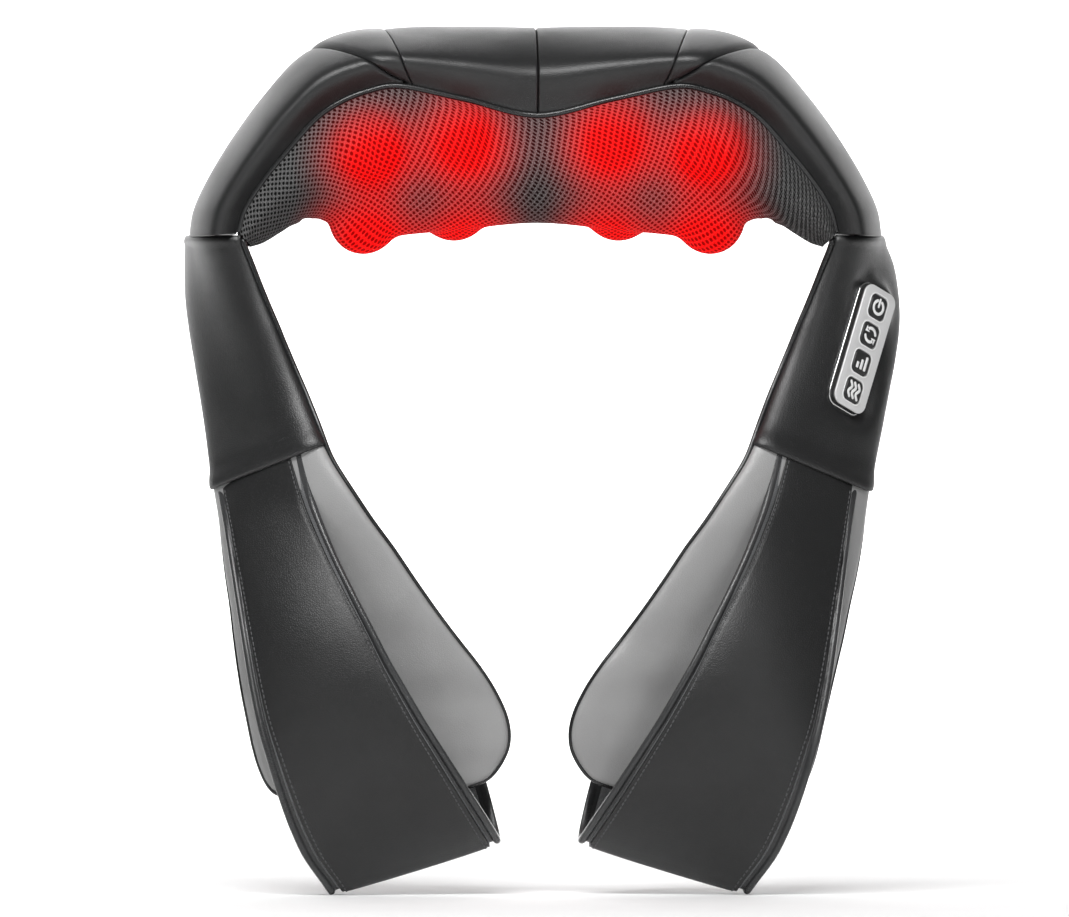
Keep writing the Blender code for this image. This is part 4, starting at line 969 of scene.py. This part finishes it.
# ------------------------------------------------------------------ hand straps
def arm_depth(xs, zs, way, side):
    """Sheet depth of an arm's front (1) or back (-1) face at places xs, zs of the sheet."""
    around = way * np.linspace(0.0, np.pi, 61)
    depth = np.zeros(xs.shape)
    for k in np.ndindex(xs.shape):
        face = arm_surface(around, np.full(61, zs[k]), 0.0, side) * 1000
        depth[k] = np.interp(xs[k], face[:, 0], face[:, 1] - NAPE_DEPTH)
    return depth


def strap_net(side):
    """Coarse net of the strap's middle surface: a row tucked under the hem, then 19 to the seam."""
    rows = np.linspace(0, len(STRAP) - 1, 19)
    table = through(STRAP, rows)
    share = np.linspace(0, 1, 5)[None, :]
    xs, zs, ys = (table[:, k][:, None] * (1 - share) + table[:, k + 3][:, None] * share for k in range(3))
    ys = ys - table[:, 6][:, None] * 4 * share * (1 - share)
    before = rows[:, None] < CREASE
    gap = np.array([0.7, 2.0, 3.0] + [3.4] * 16)[:, None]
    face = arm_depth(xs, zs, 1, side)
    ys = np.where(before & (zs > -335), np.minimum(ys, face - gap), ys)
    ys[0] = face[0] - gap[0]
    ys = np.where(~before & (zs > -352), np.maximum(ys, arm_depth(xs, zs, -1, side) + 3.4), ys)
    top_x, top_z = xs[0] + 0.3 * (xs[0] - xs[1]), zs[0] + 9.0
    top_y = arm_depth(top_x, top_z, 1, side) + 0.6
    xs, zs, ys = (np.concatenate([t[None], v]) for t, v in ((top_x, xs), (top_z, zs), (top_y, ys)))
    return space(xs, ys, zs)


def strap_surface(net, rows, share):
    """Strap at row places -1 to 18 and shares of its width, cubic both ways through the net.

    share may differ from row to row; then it is a grid."""
    lines = through(net, rows + 1)
    if share.ndim == 1:
        return through(lines.transpose(1, 0, 2), share * 4).transpose(1, 0, 2)
    return np.stack([through(line, at * 4) for line, at in zip(lines, share)])


def hand_strap(side, label):
    """Leather strap face, its lining with a rolled binding at both edges, and the stitch rows."""
    inside = np.array((0.105 * side, -0.026, -0.335))
    rows = np.r_[np.linspace(-1, 1, 30)[:-1], np.linspace(1, 18, 160)]
    ease = np.clip((rows + 0.6) / 1.8, 0, 1)[:, None]
    # face
    net = strap_net(side)
    across = clustered(46, 0.03, 6)
    near = 0.068 + 0.062 * np.clip((4.5 - rows) / 5.5, 0, 1)[:, None] ** 1.2
    far = 0.075
    grid = sided(strap_surface(net, rows, near + (1 - near - far) * across), side)
    normal = facing_out(grid, inside)
    flat_edge = spaced(grid)
    edge = np.minimum(flat_edge, flat_edge[:, -1:] - flat_edge)
    plump = 0.0010 * np.clip(np.sin(np.pi * across), 0, 1)[None, :] ** 0.45
    stitch_dip = 0.0004 * np.exp(-((edge - 0.0014) / 0.0007) ** 2)
    run = spaced(grid.transpose(1, 0, 2)).T
    pull = 0.00022 * np.sin(run * 2 * np.pi / 0.0034) * np.exp(-(edge / 0.0018) ** 2)
    lift = 0.0027 + plump - stitch_dip + pull - roll(edge, 0.0012, 0.0010)
    lift = 0.0007 + (lift - 0.0007) * ease
    outer = grid + lift[..., None] * normal
    inner = grid + (0.0002 + 0.0010 * ease)[..., None] * normal
    face = skin("strap_face_" + label, outer, inner, strap_leather, lengths_uv(grid))
    # stitches: short spindles laid end to end along both edges
    spots = []
    for line in (outer[:, 6], outer[:, -7]):
        spots.append(even_rows(line[None], 112, 0.012, 0.004)[0])
    stitches(f"strap_stitches_{label}", spots, side, label)
    # lining and binding
    share = np.r_[np.linspace(0, 0.062, 12), np.linspace(0.062, 0.938, 26)[1:-1], np.linspace(0.938, 1, 12)]
    grid = sided(strap_surface(net, rows, share), side)
    normal = facing_out(grid, inside)
    run = spaced(grid)
    edge = np.minimum(run, run[:, -1:] - run)
    bead = np.sqrt(np.clip(1 - ((edge - 0.0022) / 0.0022) ** 2, 0, 1))
    outer = grid + (0.0001 + (0.0002 + 0.0021 * bead) * ease)[..., None] * normal
    inner = grid - (0.0004 + (0.0003 + 0.0009 * bead) * ease)[..., None] * normal
    lining = skin("strap_lining_cloth_" + label, outer, inner, lining_look, lengths_uv(grid))
    lining.data.materials.append(binding_look)
    cols = len(share)
    count = len(rows) * cols
    faces = np.empty(len(lining.data.polygons) * 4, np.int32)
    lining.data.loops.foreach_get("vertex_index", faces)
    column = (faces.reshape(-1, 4) % count % cols)
    binding = ((column <= 11).all(axis=1) | (column >= cols - 12).all(axis=1)).astype(np.int32)
    lining.data.polygons.foreach_set("material_index", binding)
    for piece, name, slot in ((face, "hand_strap_", "black_leather"), (lining, "strap_lining_", "lining")):
        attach(piece, f"{label}_arm")
        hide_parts(name + label)


def stitches(name, lines, side, label, long=0.0025, thick=0.00045):
    """Rows of thread stitches: a six-sided spindle at each point of each line."""
    along_share = np.array([0.0, 0.12, 0.5, 0.88, 1.0])
    girth = np.array([0.05, 0.75, 1.0, 0.75, 0.05])
    points, faces = [], []
    turn = np.arange(6) * np.pi / 3
    ring_faces = grid_faces(5, 6, wrap_cols=True)[0]
    caps = np.array([(0, 1, 2, 5), (5, 2, 3, 4), (24, 29, 26, 25), (29, 28, 27, 26)])
    one = np.concatenate([ring_faces, caps])
    for line in lines:
        ahead = np.gradient(line, axis=0)
        ahead /= np.linalg.norm(ahead, axis=1)[:, None]
        beside = np.cross(ahead, (0.2, 1.0, 0.1))
        beside /= np.linalg.norm(beside, axis=1)[:, None]
        above = np.cross(beside, ahead)
        ring = (beside[:, None] * np.cos(turn)[None, :, None] + above[:, None] * np.sin(turn)[None, :, None])
        body = (line[:, None, None] + (along_share - 0.5)[None, :, None, None] * long * ahead[:, None, None]
                + thick * girth[None, :, None, None] * ring[:, None])
        first = sum(len(p) for p in points)
        points.append(body.reshape(-1, 3))
        faces.append((one[None] + first + 30 * np.arange(len(line))[:, None, None]).reshape(-1, 4))
    points, faces = np.concatenate(points), np.concatenate(faces)
    if volume_sign(points, faces) < 0:
        faces = faces[:, ::-1]
    piece = make(name, points, faces, thread_look)
    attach(piece, f"{label}_arm")


for side, label in ((1, "right"), (-1, "left")):
    shoulder_cover(side, label)
    pad = pad_half("pad_face", side, label, 0.02, np.pi - 0.02, grey_leather, 0.0016)
    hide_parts("arm_pad_" + label)
    rear = pad_half("pad_rear", side, label, np.pi + 0.02, 2 * np.pi - 0.02, black_leather, 0.0010)
    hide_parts("arm_back_" + label)
    arm_cord(side, label)
    hand_strap(side, label)

# ------------------------------------------------------------------ key panel
top_face = PANEL_PROUD + 0.0015
housing = plate("key_housing", [loop_rect(PANEL_W, PANEL_L, PANEL_CORNER, 10, 0.00012, 0.0009)], PANEL,
                -0.0078, PANEL_PROUD + 0.0002, 0.0004, housing_look)
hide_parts("control_housing")
trim = plate("key_trim", [loop_rect(PANEL_W + 0.0018, PANEL_L + 0.0018, PANEL_CORNER + 0.0009),
                          loop_rect(PANEL_W - 0.0010, PANEL_L - 0.0010, PANEL_CORNER - 0.0005)], PANEL,
             -0.0008, 0.0006, 0.0005, trim_look)
face = plate("key_face", [loop_rect(PANEL_W - 0.0008, PANEL_L - 0.0008, PANEL_CORNER - 0.0004, 16)] + [
    loop_rect(BUTTON + 0.0008, BUTTON + 0.0008, BUTTON_CORNER + 0.0003, 12) + (0, (1.5 - k) * BUTTON_PITCH)
    for k in range(4)], PANEL, PANEL_PROUD + 0.0002, top_face, 0.00035, face_look)
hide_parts("control_bezel")
for piece in (housing, trim, face):
    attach(piece, "right_arm")


def arc(radius, start, stop, centre=(0.0, 0.0), count=28):
    """Points round part of a circle, angles in degrees."""
    a = np.radians(np.linspace(start, stop, count))
    return np.stack([centre[0] + radius * np.cos(a), centre[1] + radius * np.sin(a)], axis=1)


def arrow_head(tip_angle, radius, size, way):
    """A small triangle at an angle of a circle, pointing on round it."""
    a = math.radians(tip_angle)
    spot = radius * np.array((math.cos(a), math.sin(a)))
    ahead = way * np.array((-math.sin(a), math.cos(a)))
    beside = np.array((math.cos(a), math.sin(a)))
    corners = np.array([spot + ahead * size, spot + beside * size * 0.78, spot - beside * size * 0.78])
    return corners


def icon(kind):
    """Outlines of a key's mark: broken ring, circling arrows, rising bars or warm waves."""
    if kind == "power":
        return [loop_stroke(arc(0.0040, 118, 422, count=40), 0.0018),
                loop_stroke([(0.0, 0.0004), (0.0, 0.0022), (0.0, 0.0048)], 0.0016)]
    if kind == "direction":
        marks = []
        for start in (20, 200):
            marks.append(loop_stroke(arc(0.0041, start, start + 112), 0.0018))
            marks.append(arrow_head(start + 112, 0.0041, 0.0030, 1))
        return marks
    if kind == "speed":
        return [loop_rect(0.0020, tall, 0.0006, 5) + (x, -0.0042 + tall / 2)
                for x, tall in ((-0.0032, 0.0038), (0.0, 0.0062), (0.0032, 0.0088))]
    waves = []
    y = np.linspace(-0.0044, 0.0044, 26)
    for x in (-0.0033, 0.0, 0.0033):
        waves.append(loop_stroke(np.stack([x + 0.0010 * np.sin(y * 2 * np.pi / 0.0070), y], axis=1), 0.0018))
    return waves


for k, kind in enumerate(KEYS):
    lift = (0, (1.5 - k) * BUTTON_PITCH)
    key = plate("key_" + kind, [loop_rect(BUTTON, BUTTON, BUTTON_CORNER, 12) + lift], PANEL,
                -0.0022, 0.0050, 0.0005, button_look, 3)
    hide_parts("button_" + kind)
    mark = plate("mark_" + kind, [loop + lift for loop in icon(kind)], PANEL, 0.00485, 0.00508, 0.00003,
                 mark_look, 0)
    ring = plate("key_ring_" + kind, [
        loop_rect(BUTTON + 0.0028, BUTTON + 0.0028, BUTTON_CORNER + 0.0013, 12) + lift,
        loop_rect(BUTTON + 0.0014, BUTTON + 0.0014, BUTTON_CORNER + 0.0006, 12) + lift],
        PANEL, top_face - 0.0003, top_face + 0.00022, 0.0001, mark_look, 1)
    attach(key, kind + "_key")
    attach(mark, kind + "_key")
    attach(ring, "right_arm")

# ------------------------------------------------------------------ finishes of the parts inside
made_looks = {}
for name in NODES:
    obj = bpy.data.objects.get(name)
    if obj is None:
        continue
    for prefix in sorted(hidden_looks, key=len, reverse=True):
        if name.startswith(prefix):
            label, dark, light, rough, metal, fine = hidden_looks[prefix]
            if label not in made_looks:
                made_looks[label] = textured(label, SPECK, dark, light, rough, 0.06, metal,
                                             distance=0.00005, Fine=fine)[0]
            for slot_place in obj.material_slots:
                slot_place.material = made_looks[label]
            break

# ------------------------------------------------------------------ floor, light and camera
FLOOR = cad_box[0][2] - 0.0012


def floor_sheet():
    """A level floor that turns up into a backdrop far behind: a quarter circle between two planes."""
    turn = np.linspace(0, np.pi / 2, 24)
    y = np.r_[-6.0, -3.0, -1.0, 0.0, 1.5, 3.0 + 1.5 * np.sin(turn), 4.5]
    z = np.r_[0, 0, 0, 0, 0, 1.5 * (1 - np.cos(turn)), 7.0]
    x = np.linspace(-7, 7, 9)
    grid = np.stack([x[None, :] + 0 * y[:, None], y[:, None] + 0 * x, FLOOR + z[:, None] + 0 * x], axis=-1)
    faces = grid_faces(len(y), len(x))[0]
    look = textured("studio_paper", SPECK, grey(0.90), grey(0.93), 0.85, 0.03, Fine=60.0, distance=0.00002,
                    specular=0.1)[0]
    sheet = make("studio_floor", grid.reshape(-1, 3), faces, look)


floor_sheet()


def softbox(name, place, aim, size, power, shape="RECTANGLE"):
    lamp = bpy.data.lights.new(name, "AREA")
    lamp.shape, lamp.energy = shape, power
    lamp.size, lamp.size_y = size
    obj = bpy.data.objects.new(name, lamp)
    bpy.context.scene.collection.objects.link(obj)
    obj.location = place
    way = np.array(place) - np.array(aim)
    from mathutils import Vector
    obj.rotation_euler = Vector(way).to_track_quat("Z", "Y").to_euler()
    return obj


MIDDLE = (0.0, 0.0, -0.158)
softbox("key_light", (-0.30, -1.0, 0.95), (0.0, 0.0, -0.10), (1.2, 0.5), 26)
softbox("fill_light", (1.2, -1.9, 0.3), MIDDLE, (0.5, 1.2), 5)
softbox("backdrop_light", (0.0, 1.6, 2.4), (0.0, 4.4, 0.6), (3.0, 1.5), 330)

world = bpy.data.worlds.new("studio")
bpy.context.scene.world = world
world.use_nodes = True
world.node_tree.nodes["Background"].inputs["Color"].default_value = (1.0, 1.0, 1.0, 1.0)
world.node_tree.nodes["Background"].inputs["Strength"].default_value = 0.16
bpy.context.scene.view_settings.view_transform = "Standard"

CAMERA_TURN, CAMERA_RISE, CAMERA_FAR = math.radians(-1.6), math.radians(0.9), 8.0
AIM = np.array((-0.0021, 0.0, -0.158))
lens = bpy.data.cameras.new("camera")
lens.lens = 460.0
lens.clip_start, lens.clip_end = 0.1, 80.0
camera = bpy.data.objects.new("camera", lens)
bpy.context.scene.collection.objects.link(camera)
back = np.array((math.sin(CAMERA_TURN) * math.cos(CAMERA_RISE), -math.cos(CAMERA_TURN) * math.cos(CAMERA_RISE),
                 math.sin(CAMERA_RISE)))
camera.location = AIM + back * CAMERA_FAR
from mathutils import Vector
camera.rotation_euler = Vector(back).to_track_quat("Z", "Y").to_euler()
bpy.context.scene.camera = camera
